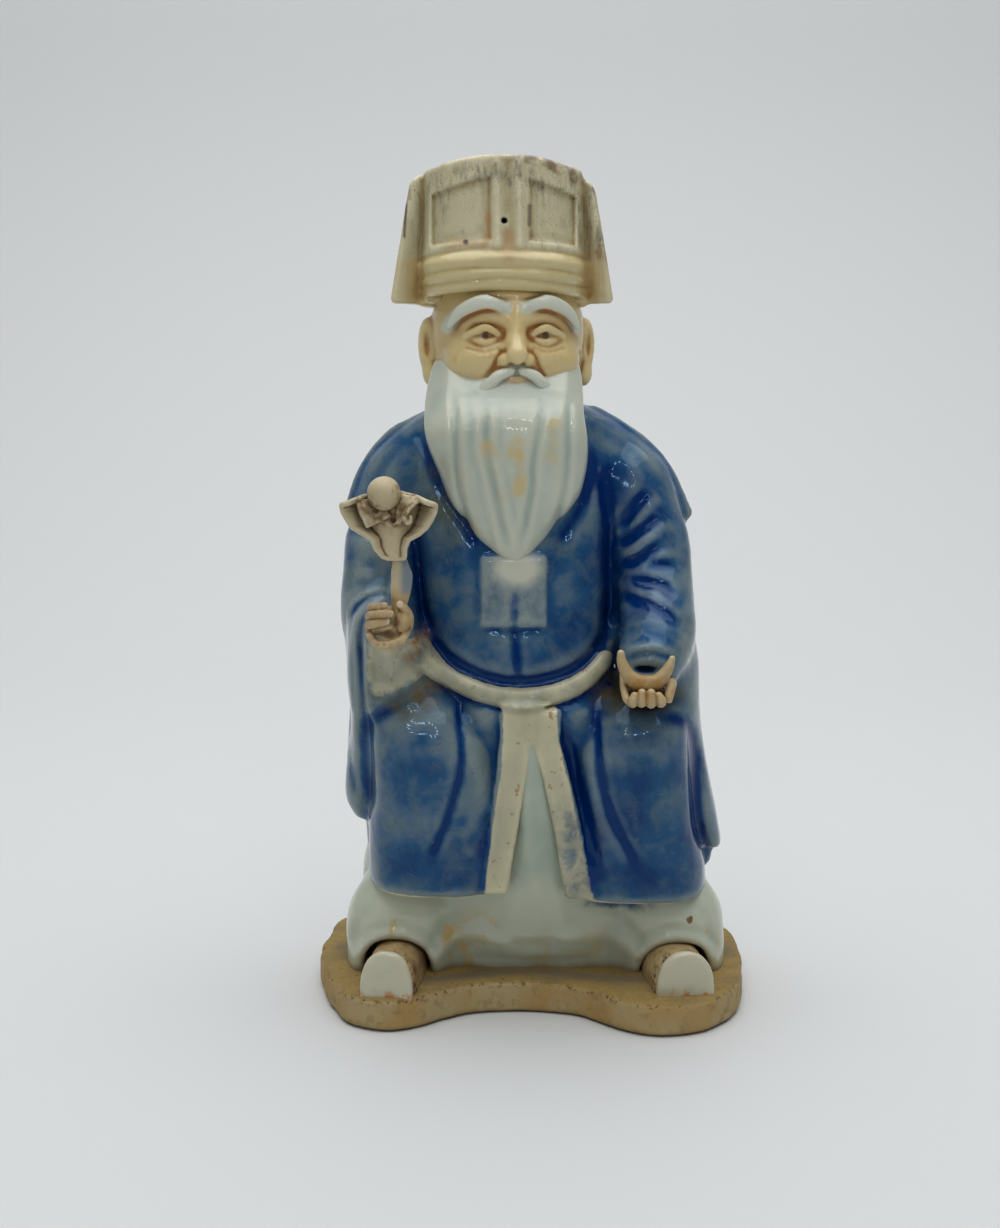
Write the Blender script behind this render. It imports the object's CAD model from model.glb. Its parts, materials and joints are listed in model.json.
"""The looks of a glazed porcelain figure of the seated god of wealth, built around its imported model.

Forms are laid out in millimetres, as (across, deep, up), in the model's own frame: across runs to the
viewer's right, deep runs away from the viewer and up is measured from the table.
"""

import json
import math

import bpy
import numpy as np
from mathutils import Euler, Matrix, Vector
from mathutils.kdtree import KDTree

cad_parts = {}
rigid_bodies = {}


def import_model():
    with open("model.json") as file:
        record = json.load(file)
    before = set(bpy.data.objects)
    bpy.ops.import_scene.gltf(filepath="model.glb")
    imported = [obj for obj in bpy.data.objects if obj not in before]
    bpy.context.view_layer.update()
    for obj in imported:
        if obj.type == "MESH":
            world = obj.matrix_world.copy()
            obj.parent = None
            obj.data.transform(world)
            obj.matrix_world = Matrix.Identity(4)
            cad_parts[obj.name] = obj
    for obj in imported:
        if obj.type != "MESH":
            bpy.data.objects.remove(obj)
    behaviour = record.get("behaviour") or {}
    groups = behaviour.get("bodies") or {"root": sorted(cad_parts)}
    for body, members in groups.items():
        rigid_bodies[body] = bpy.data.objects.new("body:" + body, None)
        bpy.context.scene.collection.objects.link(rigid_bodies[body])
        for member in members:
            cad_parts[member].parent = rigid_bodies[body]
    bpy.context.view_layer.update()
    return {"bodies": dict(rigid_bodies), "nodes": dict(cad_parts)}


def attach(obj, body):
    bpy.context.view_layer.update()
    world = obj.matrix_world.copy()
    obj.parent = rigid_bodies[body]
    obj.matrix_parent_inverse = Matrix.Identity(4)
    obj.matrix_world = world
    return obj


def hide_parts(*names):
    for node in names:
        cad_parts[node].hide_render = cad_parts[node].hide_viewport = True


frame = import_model()
kept_objects = set(frame["bodies"].values()) | set(frame["nodes"].values())
for found in [o for o in bpy.data.objects if o not in kept_objects]:
    bpy.data.objects.remove(found, do_unlink=True)

# Slab.
# The figure stands on a flat pat of coarse clay, cut by hand with two lobes under the shoes. It is luted to
# the skirt before firing and left bare, so it fires to a rough brown biscuit, dirty on top and paler on its
# cut edge.
MILLIMETRE = 0.001
FAR = 30.0
SLAB_STEP = 1.0
SLAB_TOP = 10.5
SLAB_EDGE_ROUND = 1.3
SLAB_HALF_WIDTH = 70.3
SLAB_HALF_DEPTH = 52.4
SLAB_LOBE_REACH = 23.0
SLAB_CLAY_BROWN = (0.31, 0.212, 0.068, 1)
SLAB_DIRT_BROWN = (0.165, 0.125, 0.06, 1)
CUT_EDGE_BUFF = (0.47, 0.37, 0.19, 1)
CUT_EDGE_ORANGE = (0.44, 0.28, 0.10, 1)
CUT_EDGE_BROWN = (0.25, 0.17, 0.07, 1)
PIT_BROWN = (0.07, 0.045, 0.025, 1)
SKIRT_SHADE_BROWN = (0.16, 0.125, 0.085, 1)
CLAY_SPECK_BROWN = (0.055, 0.035, 0.02, 1)
SKIRT_FOOT_LINE = [(-62, 6), (-40, -28), (-4, -19), (40, -27), (66, 4)]


def soft_min(one, other, blend):
    """The nearer of two distances, with a fillet of about blend where they meet."""
    share = np.clip(0.5 + 0.5 * (other - one) / blend, 0.0, 1.0)
    return other + (one - other) * share - blend * share * (1.0 - share)


def ease(value, low, high):
    """0 up to low, 1 from high on, and a smooth rise between them."""
    share = np.clip((value - low) / (high - low), 0.0, 1.0)
    return share * share * (3.0 - 2.0 * share)


def fall(value, low, high):
    """1 up to low, 0 from high on, and a smooth fall between them."""
    return 1.0 - ease(value, low, high)


def smooth_line(points, pieces):
    """A smooth line through the points, as pieces + 1 rows. A row may hold a radius after its place."""
    table = np.asarray(points, float)
    place = np.linspace(0.0, len(table) - 1.0, pieces + 1)
    index = np.clip(place.astype(int), 0, len(table) - 2)
    share = (place - index)[:, None]
    before = table[np.clip(index - 1, 0, None)]
    here = table[index]
    there = table[index + 1]
    after = table[np.clip(index + 2, None, len(table) - 1)]
    start = 0.5 * (there - before)
    end = 0.5 * (after - here)
    cube = share**3
    square = share**2
    return (
        (2 * cube - 3 * square + 1) * here
        + (cube - 2 * square + share) * start
        + (3 * square - 2 * cube) * there
        + (cube - square) * end
    )


def line_gap(across, up, line, pieces=20):
    """How far points of the front view are from a smooth line in it."""
    rows = smooth_line(line, pieces)
    gap = np.full(np.broadcast(across, up).shape, 1e6, np.float32)
    for (a, b), (c, d) in zip(rows, rows[1:]):
        run = max((c - a) ** 2 + (d - b) ** 2, 1e-9)
        share = np.clip(((across - a) * (c - a) + (up - b) * (d - b)) / run, 0.0, 1.0)
        gap = np.minimum(gap, (across - a - share * (c - a)) ** 2 + (up - b - share * (d - b)) ** 2)
    return np.sqrt(gap)


class Clay:
    """A block of space sampled every step: below zero in the clay, and above zero outside it."""

    def __init__(self, low, high, step):
        self.step = step
        self.low = np.array(low, np.float32)
        count = [int((top - bottom) / step) + 2 for bottom, top in zip(low, high)]
        self.value = np.full(count, FAR, np.float32)

    def window(self, low, high):
        """The part of the block between two corners, and the places of its samples."""
        spans = []
        for axis in range(3):
            start = max(0, int((low[axis] - self.low[axis]) / self.step) - 1)
            stop = min(self.value.shape[axis], int((high[axis] - self.low[axis]) / self.step) + 3)
            spans.append((start, max(start, stop)))
        part = tuple(slice(*span) for span in spans)
        axes = [self.low[i] + self.step * np.arange(*spans[i], dtype=np.float32) for i in range(3)]
        return part, np.meshgrid(*axes, indexing="ij", sparse=True)

    def whole(self):
        """The places of all the samples."""
        return self.window([-1e3] * 3, [1e3] * 3)[1]

    def add(self, form, blend=0.8):
        """Lays clay on."""
        low, high, distance = form
        reach = 2.5 * self.step + blend
        part, place = self.window(np.array(low) - reach, np.array(high) + reach)
        if self.value[part].size:
            self.value[part] = soft_min(self.value[part], distance(*place), blend)

    def cut(self, form, blend=0.8):
        """Takes clay away."""
        low, high, distance = form
        reach = 2.5 * self.step + blend
        part, place = self.window(np.array(low) - reach, np.array(high) + reach)
        if self.value[part].size:
            self.value[part] = -soft_min(-self.value[part], distance(*place), blend)

    def press(self, line, half, depth, deepest=0.0, edge=None, shallowest=-1e3, taper=0.0):
        """Draws along a line of the front view, from shallowest to deepest: depth above zero sinks a groove
        and below zero raises a roll. With an edge width the band has a flat middle. Its ends run out
        over taper."""
        rows = np.asarray(line, float)
        room = half * 2.6 if edge is None else half + edge
        low = (rows[:, 0].min() - room, shallowest, rows[:, 1].min() - room)
        high = (rows[:, 0].max() + room, deepest, rows[:, 1].max() + room)
        part, (across, deep, up) = self.window(low, high)
        if not self.value[part].size:
            return
        gap = line_gap(across, up, line)
        profile = np.exp(-((gap / half) ** 2)) if edge is None else 1.0 - ease(gap, half - edge, half + edge)
        fade = fall(deep, deepest - 4.0, deepest) * ease(deep, shallowest, shallowest + 4.0)
        for end in (rows[0], rows[-1]) if taper else ():
            profile = profile * ease(np.hypot(across - end[0], up - end[1]), -0.3 * taper, taper)
        self.value[part] += depth * profile * fade

    def skin(self, rounds=1):
        """The clay's surface, as points and four-sided faces."""
        value = self.value
        inside = value < 0.0
        total = np.zeros([n - 1 for n in value.shape], np.int8)
        corners = [(i, j, k) for i in (0, 1) for j in (0, 1) for k in (0, 1)]
        for i, j, k in corners:
            total += inside[i:i + total.shape[0], j:j + total.shape[1], k:k + total.shape[2]]
        cells = np.argwhere((total > 0) & (total < 8))
        number = np.full(total.shape, -1, np.int32)
        number[tuple(cells.T)] = np.arange(len(cells))
        corner_value = {c: value[tuple((cells + c).T)] for c in corners}
        place = np.zeros((len(cells), 3))
        weight = np.zeros(len(cells))
        for start in corners:
            for axis in range(3):
                if start[axis]:
                    continue
                end = tuple(v + (a == axis) for a, v in enumerate(start))
                one, other = corner_value[start], corner_value[end]
                crossed = (one < 0.0) != (other < 0.0)
                share = np.where(crossed, one / np.where(crossed, one - other, 1.0), 0.0)
                step = np.array(start, float)[None, :] + share[:, None] * np.eye(3)[axis][None, :]
                place += step * crossed[:, None]
                weight += crossed
        points = self.low + self.step * (cells + place / weight[:, None])
        faces = []
        for axis in range(3):
            ahead = [slice(None)] * 3
            behind = [slice(None)] * 3
            ahead[axis] = slice(1, None)
            behind[axis] = slice(None, -1)
            one, other = inside[tuple(behind)], inside[tuple(ahead)]
            edges = np.argwhere(one != other)
            side, rise = [(axis + 1) % 3, (axis + 2) % 3]
            good = (edges[:, side] > 0) & (edges[:, rise] > 0)
            good &= (edges[:, side] < total.shape[side]) & (edges[:, rise] < total.shape[rise])
            edges = edges[good]
            outward = one[tuple(edges.T)]
            ring = []
            for a, b in ((0, 0), (1, 0), (1, 1), (0, 1)):
                cell = edges.copy()
                cell[:, side] -= 1 - a
                cell[:, rise] -= 1 - b
                ring.append(number[tuple(cell.T)])
            ring = np.stack(ring, axis=1)
            faces.append(np.where(outward[:, None], ring, ring[:, ::-1]))
        faces = np.concatenate(faces)
        for _ in range(rounds):
            points = 0.5 * points + 0.5 * around(points, faces)
        return points, faces


def around(points, faces):
    """For each point, the middle of its neighbours."""
    ends = np.concatenate([faces[:, [0, 1]], faces[:, [1, 2]], faces[:, [2, 3]], faces[:, [3, 0]]])
    start = np.concatenate([ends[:, 0], ends[:, 1]])
    end = np.concatenate([ends[:, 1], ends[:, 0]])
    count = np.maximum(np.bincount(start, minlength=len(points)), 1)
    sums = [np.bincount(start, weights=points[end, axis], minlength=len(points))
            for axis in range(points.shape[1])]
    return np.stack(sums, axis=1) / count[:, None]


def facing(points, faces):
    """The outward direction at each point."""
    cross = np.cross(points[faces[:, 2]] - points[faces[:, 0]], points[faces[:, 3]] - points[faces[:, 1]])
    total = np.zeros_like(points)
    for corner in range(4):
        for axis in range(3):
            total[:, axis] += np.bincount(faces[:, corner], weights=cross[:, axis], minlength=len(points))
    return total / np.maximum(np.linalg.norm(total, axis=1, keepdims=True), 1e-9)


def hollowness(points, faces, rounds):
    """Above zero in hollows and below zero on ridges, in millimetres, for forms about the size of the
    rounds."""
    out = facing(points, faces)
    soft = points
    for _ in range(rounds):
        soft = around(soft, faces)
    return np.einsum("ij,ij->i", soft - points, out)


def piece(name, points, faces, material, marks):
    """Makes a piece of the figure out of points in millimetres. marks are values kept at its points."""
    mesh = bpy.data.meshes.new(name)
    mesh.vertices.add(len(points))
    mesh.vertices.foreach_set("co", (points * MILLIMETRE).ravel())
    mesh.loops.add(faces.size)
    mesh.loops.foreach_set("vertex_index", faces.astype(np.int32).ravel())
    mesh.polygons.add(len(faces))
    mesh.polygons.foreach_set("loop_start", np.arange(0, faces.size, 4, dtype=np.int32))
    mesh.polygons.foreach_set("use_smooth", np.ones(len(faces), bool))
    mesh.update(calc_edges=True)
    mesh.validate()
    for mark, values in marks.items():
        layer = mesh.attributes.new(mark, "FLOAT", "POINT")
        layer.data.foreach_set("value", np.asarray(values, np.float32))
    mesh.materials.append(material)
    made = bpy.data.objects.new(name, mesh)
    bpy.context.scene.collection.objects.link(made)
    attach(made, "root")
    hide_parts("caishen_figure")


def ripple(across, deep, up, size, seed):
    """A smooth even unevenness from -1 to 1, about size across."""
    draw = np.random.default_rng(seed)
    total = 0.0
    for _ in range(7):
        way = draw.normal(size=3)
        way /= np.linalg.norm(way) * size * draw.uniform(0.11, 0.24)
        total = total + np.sin(across * way[0] + deep * way[1] + up * way[2] + draw.uniform(0.0, 2 * math.pi))
    return total / 7.0 * 1.6


def slab_outline():
    """The slab's edge seen from above: a nearly straight back, round sides, and two lobes under the shoes."""
    half, back, lobe = SLAB_HALF_WIDTH, SLAB_HALF_DEPTH, -SLAB_HALF_DEPTH
    notch = lobe + SLAB_LOBE_REACH
    points = [
        (0.0, back), (0.60 * half, 0.98 * back), (0.94 * half, 0.80 * back), (1.02 * half, 0.42 * back),
        (1.02 * half, 0.02 * back), (0.965 * half, 0.52 * lobe), (0.81 * half, 0.88 * lobe),
        (0.60 * half, 1.0 * lobe),
        (0.40 * half, 0.90 * lobe), (0.20 * half, notch - 0.17 * SLAB_LOBE_REACH), (-0.04 * half, notch),
        (-0.28 * half, notch - 0.12 * SLAB_LOBE_REACH), (-0.50 * half, 0.84 * lobe),
        (-0.66 * half, 0.91 * lobe),
        (-0.82 * half, 0.78 * lobe), (-0.93 * half, 0.42 * lobe), (-1.0 * half, 0.06 * back),
        (-0.98 * half, 0.45 * back), (-0.93 * half, 0.80 * back), (-0.60 * half, 0.98 * back),
    ]
    each = 6
    looped = points[-2:] + points + points[:3]
    return smooth_line(looped, (len(looped) - 1) * each)[2 * each:-2 * each - 1]


def slab_form(across, deep, up):
    """How far a place is outside the slab, with its hand-cut edge and its pitted top."""
    ring = slab_outline()
    gap = np.full(np.broadcast(across[:, :, 0], deep[:, :, 0]).shape, 1e6, np.float32)
    within = np.zeros(gap.shape, bool)
    flat_across, flat_deep = np.broadcast_arrays(across[:, :, 0], deep[:, :, 0])
    for (a, b), (c, d) in zip(ring, np.roll(ring, -1, axis=0)):
        run = (c - a) ** 2 + (d - b) ** 2
        share = np.clip(((flat_across - a) * (c - a) + (flat_deep - b) * (d - b)) / run, 0.0, 1.0)
        gap = np.minimum(gap, (flat_across - a - share * (c - a)) ** 2
                         + (flat_deep - b - share * (d - b)) ** 2)
        crossing = ((b > flat_deep) != (d > flat_deep)) & (flat_across < (c - a) * (flat_deep - b)
            / (d - b + 1e-9) + a)
        within ^= crossing
    edge = np.where(within, -np.sqrt(gap), np.sqrt(gap))[:, :, None]
    edge = edge + 0.35 + 0.35 * ripple(across, deep, up * 0.4, 14.0, 3) + 0.16 * ripple(across,
        deep, up, 4.0, 4)
    crumb = 0.22 * ripple(across, deep, up, 9.0, 5) + 0.10 * ripple(across, deep, up, 3.2, 6)
    tall = np.maximum(up - SLAB_TOP + 0.15 + crumb, 0.12 - up)
    soft = SLAB_EDGE_ROUND
    both = np.maximum(edge + soft, tall + soft)
    corner = np.hypot(np.maximum(edge + soft, 0.0), np.maximum(tall + soft, 0.0)) - soft
    return np.where(both > 0.0, corner, both - soft)


slab_clay = Clay((-73, -56, -3), (74, 56, 14), SLAB_STEP)
slab_clay.value = slab_form(*slab_clay.whole()).astype(np.float32)
slab_points, slab_faces = slab_clay.skin(rounds=1)
slab_points[:, 2] = np.maximum(slab_points[:, 2], 0.0)


def shader_group(name, inputs, outputs):
    """An empty node group, with its sockets, its first node and its last."""
    group = bpy.data.node_groups.new(name, "ShaderNodeTree")
    for socket, kind, value in inputs:
        made = group.interface.new_socket(socket, in_out="INPUT", socket_type=kind)
        made.default_value = value
    for socket, kind in outputs:
        group.interface.new_socket(socket, in_out="OUTPUT", socket_type=kind)
    return group, group.nodes.new("NodeGroupInput"), group.nodes.new("NodeGroupOutput")


def joined(tree, kind, links=None, **settings):
    """A new node in the tree, with its settings, its fixed inputs and its linked inputs."""
    node = tree.nodes.new(kind)
    for key, value in settings.items():
        setattr(node, key, value)
    for socket, value in (links or {}).items():
        if isinstance(value, bpy.types.NodeSocket):
            tree.links.new(value, node.inputs[socket])
        else:
            node.inputs[socket].default_value = value
    return node


def blended(tree, share, one, other, mode="MIX"):
    """A colour mixed from two, by a share from 0 to 1."""
    node = joined(tree, "ShaderNodeMix", data_type="RGBA", blend_type=mode, clamp_factor=True)
    for index, value in ((0, share), (6, one), (7, other)):
        if isinstance(value, bpy.types.NodeSocket):
            tree.links.new(value, node.inputs[index])
        else:
            node.inputs[index].default_value = value
    return node.outputs[2]


def figured(tree, operation, *values):
    """One step of arithmetic on numbers or sockets."""
    return joined(tree, "ShaderNodeMath", dict(enumerate(values)), operation=operation).outputs[0]


def times(tree, one, other):
    """Two numbers or sockets multiplied."""
    return figured(tree, "MULTIPLY", one, other)


def stretched(tree, value, low, high, to_low=0.0, to_high=1.0):
    """A value spread from one range to another and held inside it."""
    links = {"Value": value, "From Min": low, "From Max": high, "To Min": to_low, "To Max": to_high}
    return joined(tree, "ShaderNodeMapRange", links, clamp=True).outputs[0]


def sampled(tree, place, size, detail=3.0, rough=0.5, warp=0.0):
    """Cloudy noise with lumps about size millimetres across, from 0 to 1."""
    links = {"Vector": place, "Scale": 1.0 / (size * MILLIMETRE), "Detail": detail, "Roughness": rough,
             "Distortion": warp}
    return joined(tree, "ShaderNodeTexNoise", links).outputs[0]


def kept_mark(tree, name):
    """A value kept at the points of the piece."""
    return joined(tree, "ShaderNodeAttribute", attribute_name=name).outputs["Fac"]


def made_material(name):
    """A new material, with its node tree, its main shader and the object's own coordinates."""
    material = bpy.data.materials.new(name)
    material.use_nodes = True
    tree = material.node_tree
    place = joined(tree, "ShaderNodeTexCoord").outputs["Object"]
    return material, tree, tree.nodes["Principled BSDF"], place


def biscuit_group():
    """Bare fired clay: a warm colour mottled by grit and dark specks. Its height is for the bump."""
    inputs = [
        ("Clay", "NodeSocketColor", (0.42, 0.33, 0.22, 1)), ("Dirt", "NodeSocketColor", (0.2, 0.15, 0.1, 1)),
        ("Dirt Share", "NodeSocketFloat", 0.3), ("Speck Share", "NodeSocketFloat", 0.5),
        ("Grain", "NodeSocketFloat", 0.2),
    ]
    tree, given, out = shader_group("bare_fired_clay", inputs,
        [("Color", "NodeSocketColor"), ("Height", "NodeSocketFloat")])
    place = joined(tree, "ShaderNodeTexCoord").outputs["Object"]
    cloud = sampled(tree, place, 11.0, 5.0, 0.62)
    grain = sampled(tree, place, 1.3, 4.0, 0.7)
    speck = joined(tree, "ShaderNodeTexVoronoi", {"Vector": place, "Scale": 520.0, "Randomness": 1.0},
                   feature="F1")
    dirty = times(tree, stretched(tree, cloud, 0.42, 0.68), given.outputs["Dirt Share"])
    colour = blended(tree, dirty, given.outputs["Clay"], given.outputs["Dirt"])
    spread = times(tree, figured(tree, "SUBTRACT", grain, 0.5), given.outputs["Grain"])
    lighter = figured(tree, "ADD", times(tree, spread, 4.0), 1.0)
    colour = blended(tree, 1.0, colour, joined(tree, "ShaderNodeCombineColor",
        {0: lighter, 1: lighter, 2: lighter}).outputs[0], "MULTIPLY")
    dots = stretched(tree, speck.outputs["Distance"], 0.10, 0.24, 1.0, 0.0)
    rare = stretched(tree, sampled(tree, place, 3.4, 2.0), 0.53, 0.6)
    dots = times(tree, times(tree, dots, rare), given.outputs["Speck Share"])
    colour = blended(tree, dots, colour, CLAY_SPECK_BROWN)
    tree.links.new(colour, out.inputs["Color"])
    height = figured(tree, "SUBTRACT", figured(tree, "ADD", grain, times(tree, cloud, 0.6)), dots)
    tree.links.new(height, out.inputs["Height"])
    return tree


bare_clay = biscuit_group()


def slab_material():
    """Brown biscuit: grey-brown dirt on top, orange-buff and paler on the cut edge, dark pits along its
    rim."""
    material, tree, shader, place = made_material("bare_slab_clay")
    clay = joined(tree, "ShaderNodeGroup", node_tree=bare_clay)
    clay.inputs["Clay"].default_value = SLAB_CLAY_BROWN
    clay.inputs["Dirt"].default_value = SLAB_DIRT_BROWN
    clay.inputs["Dirt Share"].default_value = 0.55
    clay.inputs["Speck Share"].default_value = 0.75
    side = kept_mark(tree, "cut_edge")
    warm = stretched(tree, sampled(tree, place, 16.0, 3.0), 0.4, 0.65)
    edge = blended(tree, warm, CUT_EDGE_BUFF, CUT_EDGE_ORANGE)
    edge = blended(tree, stretched(tree, sampled(tree, place, 5.0, 5.0, 0.7), 0.52, 0.72), edge,
                   CUT_EDGE_BROWN)
    colour = blended(tree, times(tree, side, 0.8), clay.outputs["Color"], edge)
    pits = times(tree, kept_mark(tree, "rim"),
                 stretched(tree, sampled(tree, place, 1.7, 3.0, 0.6), 0.55, 0.63))
    colour = blended(tree, pits, colour, PIT_BROWN)
    damp = times(tree, kept_mark(tree, "by_skirt"), 0.75)
    colour = blended(tree, damp, colour, SKIRT_SHADE_BROWN)
    tree.links.new(colour, shader.inputs["Base Color"])
    shader.inputs["Roughness"].default_value = 0.82
    shader.inputs["Specular IOR Level"].default_value = 0.3
    height = figured(tree, "SUBTRACT", clay.outputs["Height"], times(tree, pits, 2.0))
    bump = joined(tree, "ShaderNodeBump", {"Strength": 0.5, "Distance": 0.00045, "Height": height})
    tree.links.new(bump.outputs[0], shader.inputs["Normal"])
    return material


slab_out = facing(slab_points, slab_faces)
skirt_gap = line_gap(slab_points[:, 0], slab_points[:, 1], SKIRT_FOOT_LINE)
slab_marks = {
    "cut_edge": 1.0 - ease(np.abs(slab_out[:, 2]), 0.25, 0.85),
    "rim": ease(slab_points[:, 2], 7.5, 10.2) * fall(slab_out[:, 2], 0.35, 0.95),
    "by_skirt": ease(slab_out[:, 2], 0.6, 0.95) * fall(skirt_gap, 1.0, 7.0),
}
piece("bare_slab", slab_points, slab_faces, slab_material(), slab_marks)

# Underskirt.
# The long underskirt is the foot of the moulded body. It flares to two curled corners, arches over each
# shoe, and shows in the gap between the robe's front edges. Pale celadon glaze, stained buff where it has
# crazed.
SKIRT_STEP = 0.75
LEAN = -0.048
LEAN_START = 3.4
SKIRT_LEVELS = [
    (9.0, 4.3, 59.0, 27.0, 31.5), (12.0, 4.1, 59.4, 27.5, 31.5), (15.0, 4.0, 59.1, 28.5, 31.5),
    (24.0, 3.6, 58.6, 31.5, 31.0),
    (30.0, 3.0, 58.6, 32.8, 30.8), (38.0, 1.6, 57.4, 34.0, 30.5), (50.0, 2.2, 55.2, 34.5, 29.0),
    (58.0, 1.0, 50.0, 33.0, 26.0),
]
ARCHES = [(-43.2, 11.2, 12.4), (47.6, 11.2, 11.2)]


def middle(up):
    """Where the leaning figure's centre line stands at this level."""
    return LEAN_START + LEAN * up


def rows_at(stations, up):
    """Stations read at every level, on a smooth curve through them."""
    table = np.asarray(stations, float)
    level = np.clip(up, table[0, 0], table[-1, 0])
    index = np.clip(np.searchsorted(table[:, 0], level) - 1, 0, len(table) - 2)
    run = table[index + 1, 0] - table[index, 0]
    share = ((level - table[index, 0]) / run)[:, None]
    slope = np.gradient(table[:, 1:], table[:, 0], axis=0)
    here, there = table[index, 1:], table[index + 1, 1:]
    start, end = slope[index] * run[:, None], slope[index + 1] * run[:, None]
    cube, square = share**3, share**2
    return (
        (2 * cube - 3 * square + 1) * here
        + (cube - 2 * square + share) * start
        + (3 * square - 2 * cube) * there
        + (cube - square) * end
    )


def tower(stations, cap=1.5):
    """An upright form. A station is up, across, deep, half width, reach to the front and back, squareness."""
    table = np.asarray(stations, float)
    wide = table[:, 3].max()
    low = (table[:, 1].min() - wide, (table[:, 2] - table[:, 4]).min(), table[0, 0])
    high = (table[:, 1].max() + wide, (table[:, 2] + table[:, 5]).max(), table[-1, 0])

    def distance(across, deep, up):
        rows = rows_at(stations, up.ravel()).astype(np.float32)
        mid, back, half, front, rear, square = [rows[:, i][None, None, :] for i in range(6)]
        side = (across - mid) / half
        reach = np.where(deep < back, front, rear)
        rise = (deep - back) / reach
        side_power = np.abs(side) ** (square - 1.0)
        rise_power = np.abs(rise) ** (square - 1.0)
        size = (side_power * np.abs(side) + rise_power * np.abs(rise) + 1e-9) ** (1.0 / square)
        slope = np.sqrt((side_power / half) ** 2 + (rise_power / reach) ** 2) * size ** (1.0 - square)
        wall = np.clip((size - 1.0) / np.maximum(slope, 1e-3), -FAR, FAR)
        ends = np.maximum(table[0, 0] - up, up - table[-1, 0])
        return -soft_min(-wall, -ends, cap)

    return low, high, distance


def ball(centre, radii, turn=(0.0, 0.0, 0.0)):
    """A rounded lump with three radii, turned about the three axes in degrees."""
    matrix = np.array(Euler([math.radians(v) for v in turn]).to_matrix())
    reach = np.sqrt(((matrix * np.array(radii)) ** 2).sum(axis=1))

    def distance(across, deep, up):
        away = (across - centre[0], deep - centre[1], up - centre[2])
        own = [sum(matrix[i, axis] * away[i] for i in range(3)) / radii[axis] for axis in range(3)]
        size = np.sqrt(own[0] ** 2 + own[1] ** 2 + own[2] ** 2)
        slope = np.sqrt(sum((value / radius) ** 2 for value, radius in zip(own, radii)))
        return size * (size - 1.0) / np.maximum(slope, 1e-4)

    return np.array(centre) - reach, np.array(centre) + reach, distance


def rod(points, radii, pieces=16):
    """A round bar along a smooth line, with a radius at each point."""
    line = smooth_line([(*point, radius) for point, radius in zip(points, radii)], pieces)
    low = (line[:, :3] - line[:, 3:]).min(axis=0)
    high = (line[:, :3] + line[:, 3:]).max(axis=0)

    def distance(across, deep, up):
        best = None
        for one, other in zip(line, line[1:]):
            run = other[:3] - one[:3]
            away = (across - one[0], deep - one[1], up - one[2])
            share = np.clip(sum(a * r for a, r in zip(away, run)) / max(run @ run, 1e-9), 0.0, 1.0)
            gap = np.sqrt(sum((a - share * r) ** 2 for a, r in zip(away, run)))
            gap = gap - (one[3] + share * (other[3] - one[3]))
            best = gap if best is None else np.minimum(best, gap)
        return best

    return low, high, distance


def loaf(centre, half, height, front, back, turn, soft=1.2):
    """A half-round loaf lying along the deep way from front to back, turned about the upright axis."""
    reach = max(half, abs(front), abs(back)) + 2.0
    swing = math.radians(turn)

    def distance(across, deep, up):
        away, behind = across - centre[0], deep - centre[1]
        side = away * math.cos(swing) + behind * math.sin(swing)
        along = behind * math.cos(swing) - away * math.sin(swing)
        rise = np.maximum(up - centre[2], 0.0) / height
        wide = side / half
        size = (np.abs(wide) ** 2.4 + rise**2.4 + 1e-9) ** (1 / 2.4)
        wall = (size - 1.0) * min(half, height)
        ends = np.maximum(front - along, along - back)
        both = np.maximum(wall, ends) + soft
        corner = np.hypot(np.maximum(wall + soft, 0.0), np.maximum(ends + soft, 0.0)) - soft
        return np.maximum(np.where(both > 0.0, corner, both - soft), centre[2] - 1.5 - up)

    low = (centre[0] - reach, centre[1] - reach, centre[2] - 1.5)
    high = (centre[0] + reach, centre[1] + reach, centre[2] + height)
    return low, high, distance


skirt = Clay((-70, -38, 7), (74, 50, 101), SKIRT_STEP)
skirt.add(tower([(up, across, 12.0, half, front, back, 2.7)
                 for up, across, half, front, back in SKIRT_LEVELS]))
skirt.add(tower([(24, 2.8, -2.0, 20, 15.0, 8, 2.3), (33, 2.6, -2.0, 20, 19.4, 8, 2.3),
                 (41, 2.4, -2.0, 18, 22.8, 8, 2.4), (60, 1.8, -2.0, 12, 27.4, 8, 2.8),
                 (80, 1.0, -2.0, 7.0, 30.4, 8, 3.0), (98, 0.0, -2.0, 4.5, 31.4, 8, 3.2)]), 5.0)
for across, half, height in ARCHES:
    inward = -math.copysign(1.0, across)
    skirt.add(tower([
        (9.0, across + inward, -8.0, half + 6.5, 14.0, 10.0, 2.2),
        (20.0, across + 1.5 * inward, -8.0, half + 7.0, 17.5, 10.0, 2.2),
        (30.0, across + 2.0 * inward, -8.0, half + 6.5, 18.0, 10.0, 2.2),
        (46.0, across + 3.0 * inward, -8.0, 8.0, 12.0, 6.0, 2.0),
    ]), 4.0)
for side, far in ((-1.0, -57.4), (1.0, 62.2)):
    skirt.add(ball((far - 3.5 * side, -2.0, 14.5), (5.0, 6.5, 5.0), (0, 20.0 * side, 0)), 5.0)
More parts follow.
